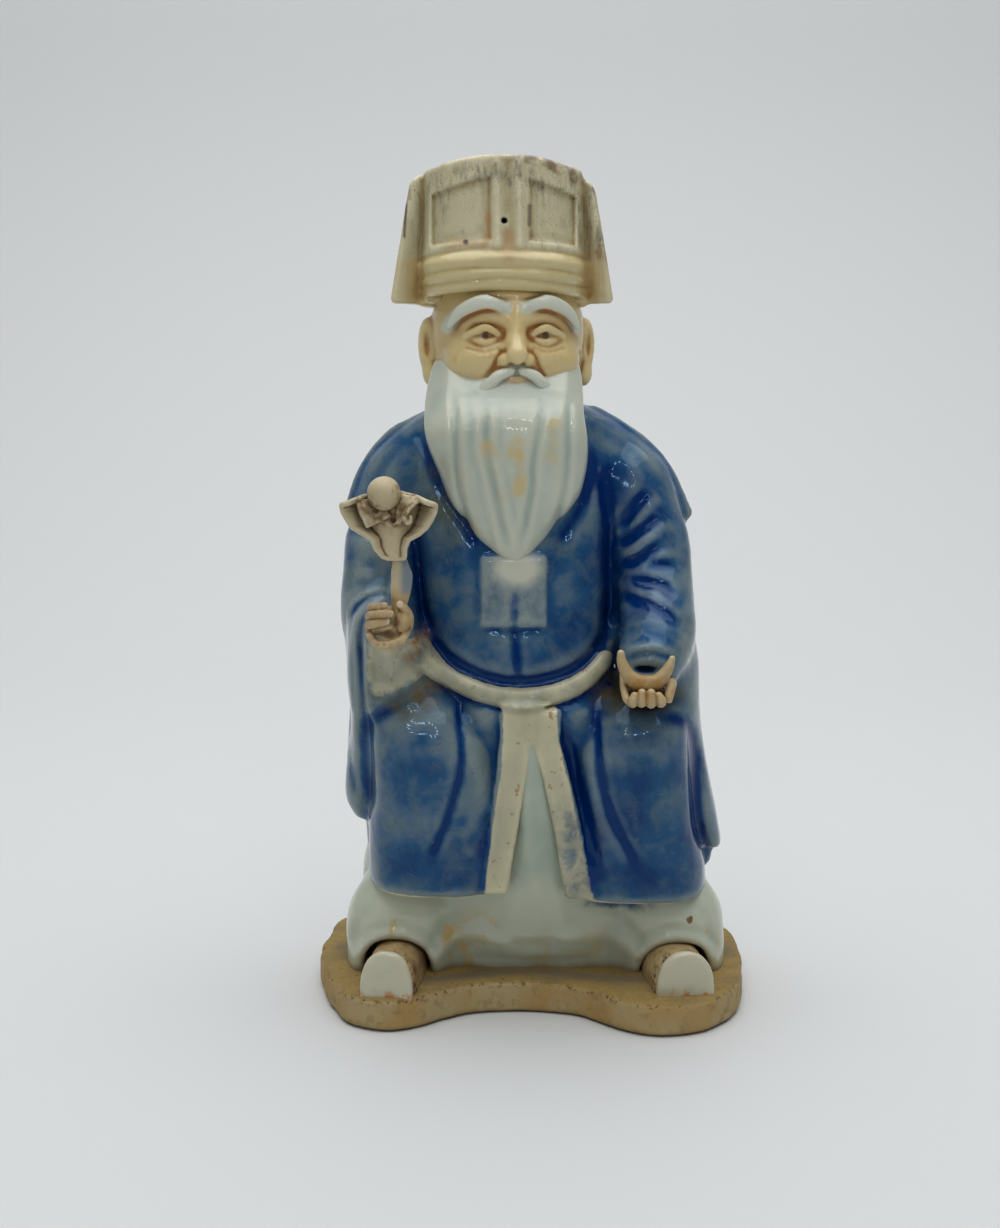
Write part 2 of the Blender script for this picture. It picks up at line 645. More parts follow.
# folds: a roll round each arch, and soft pulls that run up from the arches and the corners
for across, half, height in ARCHES:
    arch = [(across + (half + 2.6) * math.cos(t), 10.5 + (height + 2.4) * math.sin(t))
            for t in np.linspace(math.pi, 0, 9)]
    skirt.press(arch, 1.5, -0.9, deepest=0.0)
    skirt.press([(x, z + 3.0) for x, z in arch[1:-1]], 1.3, 0.5, deepest=0.0)
SKIRT_FOLDS = [
    ([(-30.5, 15), (-26, 20), (-18, 22), (-8, 19)], 2.4, -0.8), ([(-33, 19), (-27, 26), (-18, 30)], 2.6, 0.7),
    ([(-57, 20), (-53, 30), (-49, 37)], 2.0, 0.8), ([(-62, 17), (-58, 28), (-55, 38)], 1.8, -0.6),
    ([(33, 17), (25, 22), (12, 21)], 2.6, -0.7), ([(36, 21), (30, 28), (20, 32)], 2.6, 0.6),
    ([(59, 18), (57, 28), (52, 36)], 2.0, 0.8), ([(-2, 92), (-1, 60), (2, 36)], 2.6, -0.7),
    ([(-4, 60), (-6, 42), (-10, 26)], 2.0, 0.4), ([(5, 60), (9, 44), (14, 28)], 2.0, 0.4),
    ([(-16, 14), (0, 12.2), (18, 13)], 2.2, 0.7),
]
for fold, half, depth in SKIRT_FOLDS:
    skirt.press(fold, half, depth, deepest=4.0)
for across, half, height in ARCHES:
    skirt.cut(loaf((across, -22.0, 9.0), half, height + 1.5, -40.0, 17.0, 6.0 if across > 0 else -6.0), 1.0)
skirt.value += 0.12 * ripple(*skirt.whole(), 13.0, 11)
skirt_points, skirt_faces = skirt.skin(rounds=2)


def seen(red, green, blue):
    """A colour given as it looks in daylight, from 0 to 255 each."""
    parts = [value / 255.0 for value in (red, green, blue)]
    return (*[v / 12.92 if v < 0.04045 else ((v + 0.055) / 1.055) ** 2.4 for v in parts], 1.0)


def glaze_group():
    """Glaze that thins to a pale skin over ridges and pools deep in hollows, clouded by uneven dipping."""
    inputs = [
        ("Thin", "NodeSocketColor", (0.6, 0.6, 0.6, 1)), ("Even", "NodeSocketColor", (0.4, 0.4, 0.4, 1)),
        ("Pooled", "NodeSocketColor", (0.2, 0.2, 0.2, 1)), ("Hollow", "NodeSocketFloat", 0.0),
        ("Gain", "NodeSocketFloat", 1.0), ("Cloud", "NodeSocketFloat", 0.4),
        ("Cloud Size", "NodeSocketFloat", 14.0),
    ]
    tree, given, out = shader_group("pooled_glaze", inputs,
        [("Color", "NodeSocketColor"), ("Depth", "NodeSocketFloat")])
    place = joined(tree, "ShaderNodeTexCoord").outputs["Object"]
    scale = figured(tree, "DIVIDE", 1.0 / MILLIMETRE, given.outputs["Cloud Size"])
    noise = joined(tree, "ShaderNodeTexNoise", {"Vector": place, "Scale": scale, "Detail": 4.0,
        "Roughness": 0.55})
    cloud = times(tree, figured(tree, "SUBTRACT", noise.outputs[0], 0.5), given.outputs["Cloud"])
    pool = times(tree, given.outputs["Hollow"], given.outputs["Gain"])
    depth = stretched(tree, figured(tree, "ADD", figured(tree, "ADD", pool, cloud), 0.5), 0.0, 1.0)
    low = blended(tree, stretched(tree, depth, 0.0, 0.5), given.outputs["Thin"], given.outputs["Even"])
    full = blended(tree, stretched(tree, depth, 0.5, 1.0), low, given.outputs["Pooled"])
    tree.links.new(full, out.inputs["Color"])
    tree.links.new(depth, out.inputs["Depth"])
    return tree


pooled_glaze = glaze_group()


def glazed(tree, thin, even, pooled, hollow, gain, cloud, size=14.0):
    """The glaze group placed in a material with its colours and values."""
    node = joined(tree, "ShaderNodeGroup", node_tree=pooled_glaze)
    for socket, value in (("Thin", thin), ("Even", even), ("Pooled", pooled), ("Gain", gain),
                          ("Cloud", cloud), ("Cloud Size", size)):
        node.inputs[socket].default_value = value
    tree.links.new(hollow, node.inputs["Hollow"])
    return node.outputs["Color"]


def wet_surface(tree, shader, place, roughness=0.09, wave=0.12):
    """The glaze's glassy skin: smooth, with the slow unevenness of a hand-dipped coat."""
    shader.inputs["Roughness"].default_value = roughness
    shader.inputs["Specular IOR Level"].default_value = 0.5
    height = figured(tree, "ADD", sampled(tree, place, 5.0, 1.0),
                     times(tree, sampled(tree, place, 1.6, 2.0), 0.16))
    bump = joined(tree, "ShaderNodeBump", {"Strength": wave, "Distance": 0.001, "Height": height})
    tree.links.new(bump.outputs[0], shader.inputs["Normal"])


def skirt_material():
    """Pale celadon, greener where it pools, with buff stains in patches and dirt at its foot."""
    material, tree, shader, place = made_material("celadon_glaze")
    hollow = kept_mark(tree, "hollow")
    colour = glazed(tree, seen(206, 206, 184), seen(190, 198, 178), seen(156, 172, 158), hollow, 0.45, 0.6)
    patch = stretched(tree, sampled(tree, place, 13.0, 4.0, 0.6, 0.6), 0.53, 0.66)
    stain = times(tree, kept_mark(tree, "buff"), patch)
    colour = blended(tree, stain, colour, seen(198, 172, 112))
    soil = times(tree, kept_mark(tree, "foot"),
                 stretched(tree, sampled(tree, place, 6.0, 4.0), 0.3, 0.7, 0.5, 1.0))
    colour = blended(tree, soil, colour, seen(120, 104, 76))
    drip = figured(tree, "ADD", kept_mark(tree, "drip"),
                   figured(tree, "SUBTRACT", sampled(tree, place, 4.0, 4.0, 0.6), 0.5))
    colour = blended(tree, stretched(tree, drip, 0.25, 0.75, 0.0, 0.9), colour, seen(30, 76, 124))
    chip = figured(tree, "ADD", kept_mark(tree, "chip"),
                   figured(tree, "SUBTRACT", sampled(tree, place, 1.2, 3.0, 0.6), 0.5))
    colour = blended(tree, stretched(tree, chip, 0.6, 0.75), colour, seen(122, 92, 50))
    tree.links.new(colour, shader.inputs["Base Color"])
    wet_surface(tree, shader, place, 0.12)
    return material


across, deep, up = skirt_points.T
arch_gap = np.min([np.hypot((across - x) / half, (up - 10.5) / height) for x, half, height in ARCHES], axis=0)
skirt_marks = {
    "hollow": hollowness(skirt_points, skirt_faces, 14) + 0.9 * ease(up, 34.0, 52.0)
    * fall(np.abs(across - 1.5), 14.0, 20.0),
    "buff": np.clip(fall(line_gap(across, up, [(-40, 27), (-25, 18), (-14, 22)]), 4.0, 14.0)
                    + 0.5 * fall(up, 14, 30)
                    + fall(line_gap(across, up, [(54, 27), (56, 24)]), 0.5, 3.0), 0.0, 1.0)
    * fall(deep, 0.0, 20.0),
    "drip": np.exp(-(((across - 29.0) / 10.0) ** 2) - ((up - 34.6) / 3.4) ** 2) * fall(deep, -10.0, 0.0),
    "chip": np.exp(-(((across - 51.5) / 1.6) ** 2) - ((up - 29.5) / 2.0) ** 2) * fall(deep, 0.0, 10.0),
    "foot": np.clip(fall(up, 10.2, 13.5) * 0.8 + fall(arch_gap, 1.0, 1.18) * ease(up, 10, 14)
                    * fall(deep, 0.0, 10.0) * 0.8, 0.0, 1.0),
}
piece("underskirt", skirt_points, skirt_faces, skirt_material(), skirt_marks)

# Shoes.
# Two blunt cloth shoes, splayed a little, stuck to the slab with slip. Each thick turned-up toe is a white
# half moon, and the upper behind it is unglazed clay brushed with iron brown that has broken into streaks.
SHOE_STEP = 0.5
SHOES = [((-43.6, -28.8, 10.6), 8.4, 14.0, -6.0), ((47.2, -27.2, 10.6), 9.2, 13.4, 6.0)]
shoes = Clay((-61, -50, 8), (65, -8, 27), SHOE_STEP)
for centre, half, height, turn in SHOES:
    shoes.add(loaf(centre, half + 0.4, height - 2.4, -13.0, 16.0, turn, 1.5), 0.5)
    shoes.add(loaf(centre, half, height, -16.0, -12.2, turn, 1.5), 0.4)
shoes.value += 0.10 * ripple(*shoes.whole(), 6.0, 21)
shoe_points, shoe_faces = shoes.skin(rounds=1)


def shoe_material():
    """White glaze on the toe, and a buff upper with dark iron streaks that run back from its seam."""
    material, tree, shader, place = made_material("shoe_white_and_iron")
    toe = kept_mark(tree, "toe")
    clay = joined(tree, "ShaderNodeGroup", node_tree=bare_clay)
    clay.inputs["Clay"].default_value = seen(182, 160, 112)
    clay.inputs["Dirt"].default_value = seen(120, 78, 46)
    clay.inputs["Dirt Share"].default_value = 0.9
    squeezed = joined(tree, "ShaderNodeMapping", {"Vector": place, "Scale": (1.0, 0.22, 0.6)}).outputs[0]
    streak = stretched(tree, sampled(tree, squeezed, 1.5, 4.0, 0.6), 0.5, 0.6)
    streak = times(tree, streak, kept_mark(tree, "seam"))
    upper = blended(tree, streak, clay.outputs["Color"], seen(70, 38, 22))
    white = glazed(tree, seen(202, 192, 162), seen(196, 194, 170), seen(168, 172, 152),
                   kept_mark(tree, "hollow"), 0.5, 0.6, 8.0)
    orange = times(tree, kept_mark(tree, "low"), stretched(tree, sampled(tree, place, 4.0, 3.0), 0.5, 0.62))
    white = blended(tree, orange, white, seen(190, 128, 82))
    tree.links.new(blended(tree, toe, upper, white), shader.inputs["Base Color"])
    tree.links.new(stretched(tree, toe, 0.0, 1.0, 0.6, 0.08), shader.inputs["Roughness"])
    bump = joined(tree, "ShaderNodeBump", {"Strength": 0.2, "Distance": 0.0003,
        "Height": clay.outputs["Height"]})
    tree.links.new(bump.outputs[0], shader.inputs["Normal"])
    return material


across, deep, up = shoe_points.T
nearer = (across > 0).astype(int)
centre = np.array([shoe[0] for shoe in SHOES])[nearer]
swing = np.radians(np.array([shoe[3] for shoe in SHOES]))[nearer]
along = (deep - centre[:, 1]) * np.cos(swing) - (across - centre[:, 0]) * np.sin(swing)
shoe_marks = {
    "hollow": hollowness(shoe_points, shoe_faces, 10),
    "toe": 1.0 - ease(along, -13.4, -12.6),
    "seam": 1.0 - ease(along, -11.0, -2.0),
    "low": 1.0 - ease(up, 10.5, 14.0),
}
piece("shoes", shoe_points, shoe_faces, shoe_material(), shoe_marks)

# Robe.
# The robe, sleeves, belt and neck bands are one moulding with the trunk. Cobalt glaze was brushed over all
# of it but the belt, the front edges and the cuff linings, which are cream. It runs off the ridges and lies
# dark in the folds.
ROBE_STEP = 0.93
ROBE_DEEP = 8.5
BACK_LEVELS = [
    (40.5, 55.0, 14.0, 37.5), (60, 55.3, 16.0, 36.5), (85, 54.0, 18.0, 34.5), (107, 53.5, 20.0, 32.5),
    (124, 54.0, 20.0, 31.5), (143, 55.0, 20.0, 30.5), (155, 55.2, 20.0, 29.5), (161, 54.2, 20.0, 29.0),
    (171, 50.0, 20.0, 27.5), (182, 41.0, 20.0, 25.0), (189, 32.0, 19.0, 22.0), (195, 21.0, 17.0, 18.0),
]
CHEST_LEVELS = [
    (97, 27.0, 33.0, 20.0), (103, 31.0, 37.5, 20.0), (110, 32.5, 38.8, 20.0), (124, 33.0, 37.5, 20.0),
    (143, 33.5, 35.0, 20.0),
    (161, 36.0, 32.0, 20.0), (171, 35.0, 29.5, 20.0), (182, 30.0, 26.0, 18.0), (190, 23.0, 22.0, 15.0),
]
LEFT_LEG = [
    (38.6, -30.2, 22.3, 31.0), (46, -29.8, 22.9, 31.8), (62, -29.2, 23.4, 33.2), (78, -29.7, 22.8, 35.0),
    (89, -32.2, 20.6, 36.0), (96, -34.8, 18.0, 33.4), (103, -36.4, 13.8, 27.0), (111, -37.0, 5.0, 13.0),
]
RIGHT_LEG = [
    (36.2, 34.6, 23.6, 30.0), (46, 34.0, 23.8, 31.0), (62, 32.2, 22.8, 32.5), (78, 32.0, 21.8, 34.5),
    (89, 33.6, 20.0, 36.0), (96, 35.8, 18.0, 33.4), (103, 37.0, 13.8, 27.0), (111, 38.0, 5.0, 13.0),
]
LEFT_SLEEVE = [
    (58.2, -53.5, -3, 3.5, 6, 7), (64, -52.6, -3, 7.2, 12, 14), (78, -50.2, -2, 9.9, 19, 24),
    (97, -47.5, -2, 11.6, 24, 30), (116, -47.0, -2, 12.6, 26, 30), (132, -46.6, 0, 12.9, 22, 26),
    (150, -46.0, 2, 12.2, 18, 24),
]
RIGHT_SLEEVE = [
    (48.2, 60.5, -2, 3.4, 6, 7), (55, 56.5, -2, 6.5, 12, 14), (72, 50.5, -2, 9.0, 19, 24),
    (92, 44.5, -2, 11.5, 24, 30), (112, 42.5, -2, 12.5, 27, 30), (130, 42.0, 0, 10.0, 20, 24),
]
BELT_LINE = [(-34.5, 117.5), (-28.7, 110.4), (-20.3, 105.8), (-10.1, 103.0), (0.8, 102.6), (11.7, 104.9),
             (19.0, 108.6), (23.6, 112.8)]
BELT_HALF = 2.9
LEFT_EDGE = [(38.8, -11.4, 4.4, -30.0), (63, -8.2, 4.8, -32.0), (80, -5.6, 5.0, -33.6),
             (92, -4.6, 5.2, -33.8), (100, -4.4, 5.4, -33.2)]
RIGHT_EDGE = [(37.0, 16.6, 5.4, -29.5), (63, 11.8, 4.8, -31.8), (80, 7.8, 4.7, -33.4), (92, 4.9, 5.2, -33.7),
              (100, 4.2, 5.4, -33.2)]
BANDS = (-15.6, 5.1, 125.0, 147.0)
BANDS_PROUD = 1.3


def outside_bands(across, up):
    """How far a place in the front view is outside the flat neck bands."""
    left, right, foot, top = BANDS
    beside = np.abs(across - 0.5 * (left + right)) - 0.5 * (right - left)
    above = np.abs(up - 0.5 * (foot + top)) - 0.5 * (top - foot)
    return np.maximum(beside, above)


def strip(stations, thick=8.0, soft=1.1):
    """A hanging band. A station is up, across, half width and the place of its front."""
    table = np.asarray(stations, float)
    low = ((table[:, 1] - table[:, 2]).min(), table[:, 3].min(), table[0, 0])
    high = ((table[:, 1] + table[:, 2]).max(), table[:, 3].max() + thick, table[-1, 0])

    def distance(across, deep, up):
        rows = rows_at(stations, up.ravel()).astype(np.float32)
        mid, half, front = [rows[:, i][None, None, :] for i in range(3)]
        walls = [np.abs(across - mid) - half, np.abs(deep - front - 0.5 * thick) - 0.5 * thick,
                 np.maximum(table[0, 0] - up, up - table[-1, 0])]
        outside = np.sqrt(sum(np.maximum(wall + soft, 0.0) ** 2 for wall in walls)) - soft
        return outside + np.minimum(np.maximum(np.maximum(walls[0], walls[1]), walls[2]) + soft, 0.0)

    return low, high, distance


def leaning_stations(levels, deep, square):
    """Stations for a tower that follows the figure's own lean."""
    return [(up, middle(up), deep, half, front, back, square) for up, half, front, back in levels]


def stations_at(levels, deep, back, square):
    """Stations for a tower whose levels give their own place across."""
    return [(up, across, deep, half, front, back, square) for up, across, half, front in levels]


robe = Clay((-66, -48, 34), (67, 50, 198), ROBE_STEP)
robe.add(tower(leaning_stations(BACK_LEVELS, ROBE_DEEP, 2.6)))
chest = [(up, middle(up) - 1.6, ROBE_DEEP, half, front, back, 2.9) for up, half, front, back in CHEST_LEVELS]
robe.add(tower(chest, 4.0), 3.0)
for leg in (LEFT_LEG, RIGHT_LEG):
    robe.add(tower(stations_at(leg, -2.0, 20.0, 2.8), 1.8), 3.0)
robe.add(ball((-0.5, -10.0, 96.0), (34.0, 21.5, 12.0)), 4.0)
robe.add(tower([(41, 2.0, -2.0, 26, 20.0, 10, 2.8), (60, 1.6, -2.0, 25, 24.4, 10, 2.8),
                (80, 1.0, -2.0, 24, 27.6, 10, 2.8), (97, 0.0, -2.0, 24, 29.4, 10, 2.8)]), 3.0)
for sleeve in (LEFT_SLEEVE, RIGHT_SLEEVE):
    robe.add(tower([(*station, 2.4) for station in sleeve], 2.0), 2.5)
robe.add(rod([(-41, 3, 168), (-47, -2, 150), (-47.6, -10, 134), (-47, -20, 125), (-44.0, -29, 121)],
             [12.5, 12.3, 12.0, 11.0, 8.6]), 4.0)
robe.add(rod([(33, 2, 168), (39, -4, 150), (40.2, -12, 134), (40.2, -24, 122), (37.3, -33, 114.5)],
             [12.5, 12.6, 12.4, 12.0, 10.2]), 4.0)
robe.add(ball((-42.6, -16.0, 108.0), (14.6, 18.0, 18.0)), 6.0)
robe.add(ball((-52.0, -6.0, 124.0), (7.3, 12.0, 16.0)), 6.0)
robe.add(rod([(22, 8, 186), (33, 8, 177), (41, 7, 167)], [5.0, 6.0, 6.0]), 5.0)
robe.add(rod([(59.8, -2, 52), (58.4, 1, 43.4)], [2.2, 2.6]), 3.0)
# the shawl's edge stands proud along both shoulders and ends in a small step
SHAWL_LEFT = [(-31.0, 7, 190.5), (-45.0, 6, 184.0), (-54.0, 5, 172.0), (-58.6, 3, 159.0)]
SHAWL_RIGHT = [(21.5, 7, 191.2), (36.6, 6, 181.4), (46.0, 5, 170.2), (51.5, 3, 158.5)]
for shawl in (SHAWL_LEFT, SHAWL_RIGHT):
    robe.add(rod(shawl, [1.6, 1.8, 1.9, 2.0]), 3.0)
    robe.press([(across - math.copysign(4.2, across + 6), up - 2.6) for across, _, up in shawl], 2.0, 0.7,
               deepest=8.0, taper=8.0)
for edge in (LEFT_EDGE, RIGHT_EDGE):
    robe.add(strip(edge), 1.2)
robe.press(BELT_LINE, BELT_HALF, -1.7, deepest=-8.0, edge=0.8)
robe.press([(across * 0.985, up - 1.3) for across, up in BELT_LINE], 0.5, 0.35, deepest=-8.0)
# the flat neck bands on the chest
part, (across, deep, up) = robe.window((BANDS[0] - 2, -40, BANDS[2] - 2), (BANDS[1] + 2, -10, BANDS[3] + 2))
robe.value[part] -= BANDS_PROUD * fall(outside_bands(across, up), -0.6, 0.9)
PLEATS = [
    [(-46.0, 136.4), (-52.0, 134.8), (-56.2, 131.4), (-57.5, 125), (-57.6, 112), (-56.8, 96)],
    [(-46.2, 133.6), (-50.8, 132.4), (-53.8, 129.2), (-55.0, 124), (-54.8, 112), (-54.4, 96)],
    [(-47.0, 130.4), (-50.0, 129.4), (-51.4, 126.0), (-51.8, 120), (-51.6, 110), (-51.2, 98)],
]
ROBE_FOLDS = [
    # the armholes and the deep line under the belly
    ([(-36.6, 160), (-36.2, 149), (-35.7, 138), (-33.5, 128), (-30, 120)], 1.9, 1.9),
    ([(22.0, 174), (23.8, 166), (24.9, 156), (25.2, 145), (25.3, 130), (24.5, 121)], 1.8, 3.0),
    ([(-32.3, 122.6), (-29.1, 117.4), (-20.3, 111.5), (-10.1, 107.9), (0.8, 107.7), (11.7, 110.4),
      (19.7, 115.2), (24.2, 122), (25.1, 130)], 1.8, 3.2),
    ([(-35.5, 113), (-28.4, 106.6), (-20.3, 102.2), (-10.1, 99.6), (0.8, 99.2), (11.7, 101.4), (19.7, 105.2),
      (25.5, 110.5)], 1.0, 0.9),
    # the seam and the neck bands' edges
    ([(-4.8, 137.5), (-4.9, 123), (-3.6, 108.4)], 0.95, 1.3),
    ([(-15.6, 124.3), (-5, 123.9), (5.2, 124.4)], 1.1, 0.9),
    ([(-16.6, 147), (-16.4, 137), (-15.8, 126)], 1.1, 0.35), ([(5.8, 147), (5.9, 137), (5.2, 126)], 1.1, 0.3),
    # soft hollows beside the beard, and a ridge down the chest
    ([(-35.2, 186), (-33.0, 180), (-30.0, 172), (-25.2, 163), (-20.0, 156), (-15.6, 149)], 1.7, 1.9),
    ([(20.0, 184), (19.2, 172), (16.0, 162), (11.5, 155), (7.0, 148.5)], 1.7, 1.6),
    ([(20.0, 158), (20.3, 128)], 2.2, -0.5), ([(-29.5, 152), (-29.0, 130)], 2.4, -0.5),
    # elbow pulls on the viewer's right
    ([(28.2, 152.5), (32.0, 158.5), (38.2, 167.4)], 1.7, 2.0),
    ([(28.1, 148.2), (34, 153), (41.6, 159)], 1.6, 2.1),
    ([(28.5, 141.8), (35, 146), (43, 150.6)], 1.5, 1.9),
    ([(35.5, 143.3), (41, 143.8), (47.3, 143.1)], 1.5, 1.7),
    ([(31.5, 138.2), (38, 138), (42, 136.8), (46.1, 133.3)], 1.5, 1.8),
    ([(28.0, 133.9), (37.5, 132.1), (47.8, 125.4)], 1.5, 1.4),
    ([(30.5, 156), (36, 163.5)], 1.5, -0.5), ([(29.5, 145.5), (40, 154.6)], 1.5, -0.6),
    ([(30, 136), (44, 130)], 1.6, -0.7),
    # cuff arcs over the hand on the viewer's right
    ([(28.0, 117.8), (31.6, 119.8), (36.2, 120.6), (41.0, 119.8), (45.2, 117.2)], 1.1, -0.9),
    ([(29.0, 116.2), (32.4, 118.0), (36.6, 118.6), (41.0, 117.8), (44.2, 115.6)], 0.8, 0.6),
    ([(30.2, 115.0), (33.4, 116.3), (36.8, 116.7), (40.6, 116.0), (43.0, 114.4)], 0.9, -0.7),
    ([(28.5, 122.4), (33, 123.8), (38, 123.9), (43, 122.4)], 1.4, 0.5),
    # elbow pulls and pleats on the viewer's left
    ([(-55.4, 144.2), (-51, 143.5), (-46.5, 141)], 1.8, 1.7),
    ([(-57.3, 137.5), (-52, 138), (-48, 136.6)], 1.6, 1.2),
    ([(-45.0, 134.5), (-50.5, 133.2), (-55.5, 129.5), (-58.6, 123), (-59.4, 106), (-58, 84), (-56.0, 66)],
     1.3, 1.5),
    ([(-45.5, 132.5), (-50.0, 131.6), (-53.6, 128.4), (-55.2, 123), (-56.2, 114), (-55.6, 97), (-54.6, 80)],
     1.2, -1.2),
    ([(-48.5, 130.0), (-51.6, 127), (-53.2, 119), (-53.0, 106), (-52.0, 93)], 1.2, 1.6),
    *[(fold, 0.65, -0.9) for fold in PLEATS],
    ([(-50.2, 124), (-50.8, 112), (-50.4, 100), (-49.5, 92)], 1.2, -0.9),
    ([(-49.0, 125), (-49.2, 108), (-48.8, 98)], 1.0, 0.9),
    # legs: the crease inside each, the outline outside each, and the pull beside the right edge
    ([(-22.0, 101), (-22.6, 96), (-21.6, 89.4), (-21.9, 81.2), (-25.6, 66.4), (-31.5, 52)], 0.95, 1.7),
    ([(21.0, 97), (21.1, 93.5), (22, 81.2), (25.4, 66.4), (34.0, 49)], 0.95, 1.6),
    ([(8.8, 93), (13.6, 82), (17.8, 65.4), (21.0, 47)], 1.8, 2.6),
    ([(-36, 103), (-42.9, 100.0), (-50.0, 95.5), (-53.2, 87.4), (-52.9, 77.3), (-52.2, 64)], 2.0, 2.6),
    ([(38, 99), (44.2, 96.8), (49.6, 93.2), (52.5, 84), (53.4, 74), (54.6, 60), (57, 50)], 1.9, 2.4),
    ([(-13.0, 70), (-14.6, 60), (-16.5, 44)], 2.0, 1.0), ([(-17, 92), (-16.5, 76), (-20, 56)], 2.4, -0.7),
    ([(-8.8, 95), (-8.8, 80), (-9.8, 63), (-11.6, 42)], 0.7, 0.5),
    ([(8.5, 94), (9.2, 80), (12.6, 63), (17.2, 44)], 0.7, 0.5),
    ([(16.5, 90), (19, 76), (23, 58)], 1.8, -0.7),
]
for fold, half, depth in ROBE_FOLDS:
    deeper = 0.9 if fold[0][0] > 27.0 and fold[0][1] > 120.0 else 0.66
    robe.press(fold, 1.3 * half, deeper * depth, deepest=2.0, taper=4.0 * half)
BACK_FOLDS = [
    ([(-3, 186), (-3, 150), (-1, 110), (0, 70), (1, 42)], 3.0, 0.8),
    ([(-20, 176), (-24, 140), (-26, 100), (-29, 42)], 3.4, -1.0),
    ([(15, 176), (20, 140), (24, 100), (30, 42)], 3.4, -1.0),
    ([(-36, 160), (-40, 120), (-43, 80), (-45, 44)], 2.6, 1.1),
    ([(31, 160), (36, 120), (40, 80), (46, 44)], 2.6, 1.1), ([(-46, 150), (-52, 100), (-54, 62)], 2.4, -0.8),
    ([(41, 150), (47, 100), (53, 58)], 2.4, -0.8), ([(-12, 100), (-13, 70), (-15, 42)], 2.4, 0.7),
    ([(11, 100), (13, 70), (16, 42)], 2.4, 0.7),
]
for fold, half, depth in BACK_FOLDS:
    robe.press(fold, half, depth, deepest=90.0, shallowest=12.0)
# the open cuff round the hand on the viewer's right
robe.cut(ball((34.9, -43.0, 113.7), (3.6, 5.0, 1.2)), 0.6)
robe.value += 0.16 * ripple(*robe.whole(), 17.0, 31) + 0.07 * ripple(*robe.whole(), 6.0, 32)
robe_points, robe_faces = robe.skin(rounds=2)


def robe_material():
    """Cobalt glaze, inky in the folds, clear on the flats and grey where thin, with cream belt and edges."""
    material, tree, shader, place = made_material("cobalt_glaze_over_cream")
    hollow = kept_mark(tree, "hollow")
    fine = figured(tree, "ADD", times(tree, kept_mark(tree, "fine_hollow"), 1.2), times(tree, hollow, 0.3))
    laid = figured(tree, "ADD", fine, kept_mark(tree, "laid"))
    blue = glazed(tree, seen(122, 138, 140), seen(38, 82, 122), seen(0, 40, 98), laid, 0.5, 1.3, 15.0)
    grey = stretched(tree, sampled(tree, place, 10.0, 5.0, 0.62, 0.6), 0.47, 0.66)
    grey = times(tree, grey, stretched(tree, laid, -0.4, 0.9, 0.8, 0.0))
    blue = blended(tree, grey, blue, seen(98, 116, 118))
    thin = stretched(tree, kept_mark(tree, "fine_hollow"), -0.34, -0.08, 0.55, 0.0)
    blue = blended(tree, thin, blue, seen(134, 148, 148))
    blue = blended(tree, times(tree, kept_mark(tree, "pleat"), 0.5), blue, seen(158, 168, 172))
    murk = times(tree, kept_mark(tree, "murk"),
                 stretched(tree, sampled(tree, place, 9.0, 4.0, 0.6, 0.5), 0.34, 0.6))
    blue = blended(tree, murk, blue, seen(86, 92, 76))
    speckle = stretched(tree, sampled(tree, place, 0.9, 2.0, 0.5), 0.62, 0.72, 0.0, 0.35)
    blue = blended(tree, speckle, blue, seen(20, 44, 86))
    chalk = figured(tree, "ADD", kept_mark(tree, "chalk"),
                    times(tree, figured(tree, "SUBTRACT", sampled(tree, place, 3.0, 4.0, 0.6), 0.5), 0.5))
    blue = blended(tree, stretched(tree, chalk, 0.06, 0.9, 0.0, 0.9), blue, seen(206, 206, 186))
    cream = glazed(tree, seen(216, 208, 172), seen(190, 184, 152), seen(162, 150, 110), fine, 0.6, 0.6)
    brown = stretched(tree, sampled(tree, place, 2.6, 3.0, 0.5), 0.64, 0.70, 0.0, 0.7)
    cream = blended(tree, brown, cream, seen(160, 110, 66))
    veil = times(tree, kept_mark(tree, "veil"),
                 stretched(tree, sampled(tree, place, 7.0, 4.0, 0.6, 0.4), 0.34, 0.62, 0.35, 1.0))
    cream = blended(tree, veil, cream, seen(118, 126, 118))
    ragged = figured(tree, "ADD", kept_mark(tree, "cream"),
                     times(tree, figured(tree, "SUBTRACT", sampled(tree, place, 5.0, 5.0, 0.65), 0.5), 1.0))
    colour = blended(tree, stretched(tree, ragged, 0.36, 0.66), blue, cream)
    rust = times(tree, kept_mark(tree, "rust"),
                 stretched(tree, sampled(tree, place, 5.0, 4.0, 0.6), 0.4, 0.62))
    colour = blended(tree, rust, colour, seen(140, 102, 54))
    dust = times(tree, kept_mark(tree, "soil"),
                 stretched(tree, sampled(tree, place, 6.0, 4.0, 0.6), 0.36, 0.6))
    colour = blended(tree, dust, colour, seen(88, 82, 58))
    colour = blended(tree, kept_mark(tree, "soot"), colour, seen(26, 24, 18))
    tree.links.new(colour, shader.inputs["Base Color"])
    wet_surface(tree, shader, place, 0.09, 0.07)
    shader.inputs["Specular IOR Level"].default_value = 0.34
    shader.inputs["Specular Tint"].default_value = (0.45, 0.72, 1.0, 1.0)
    return material


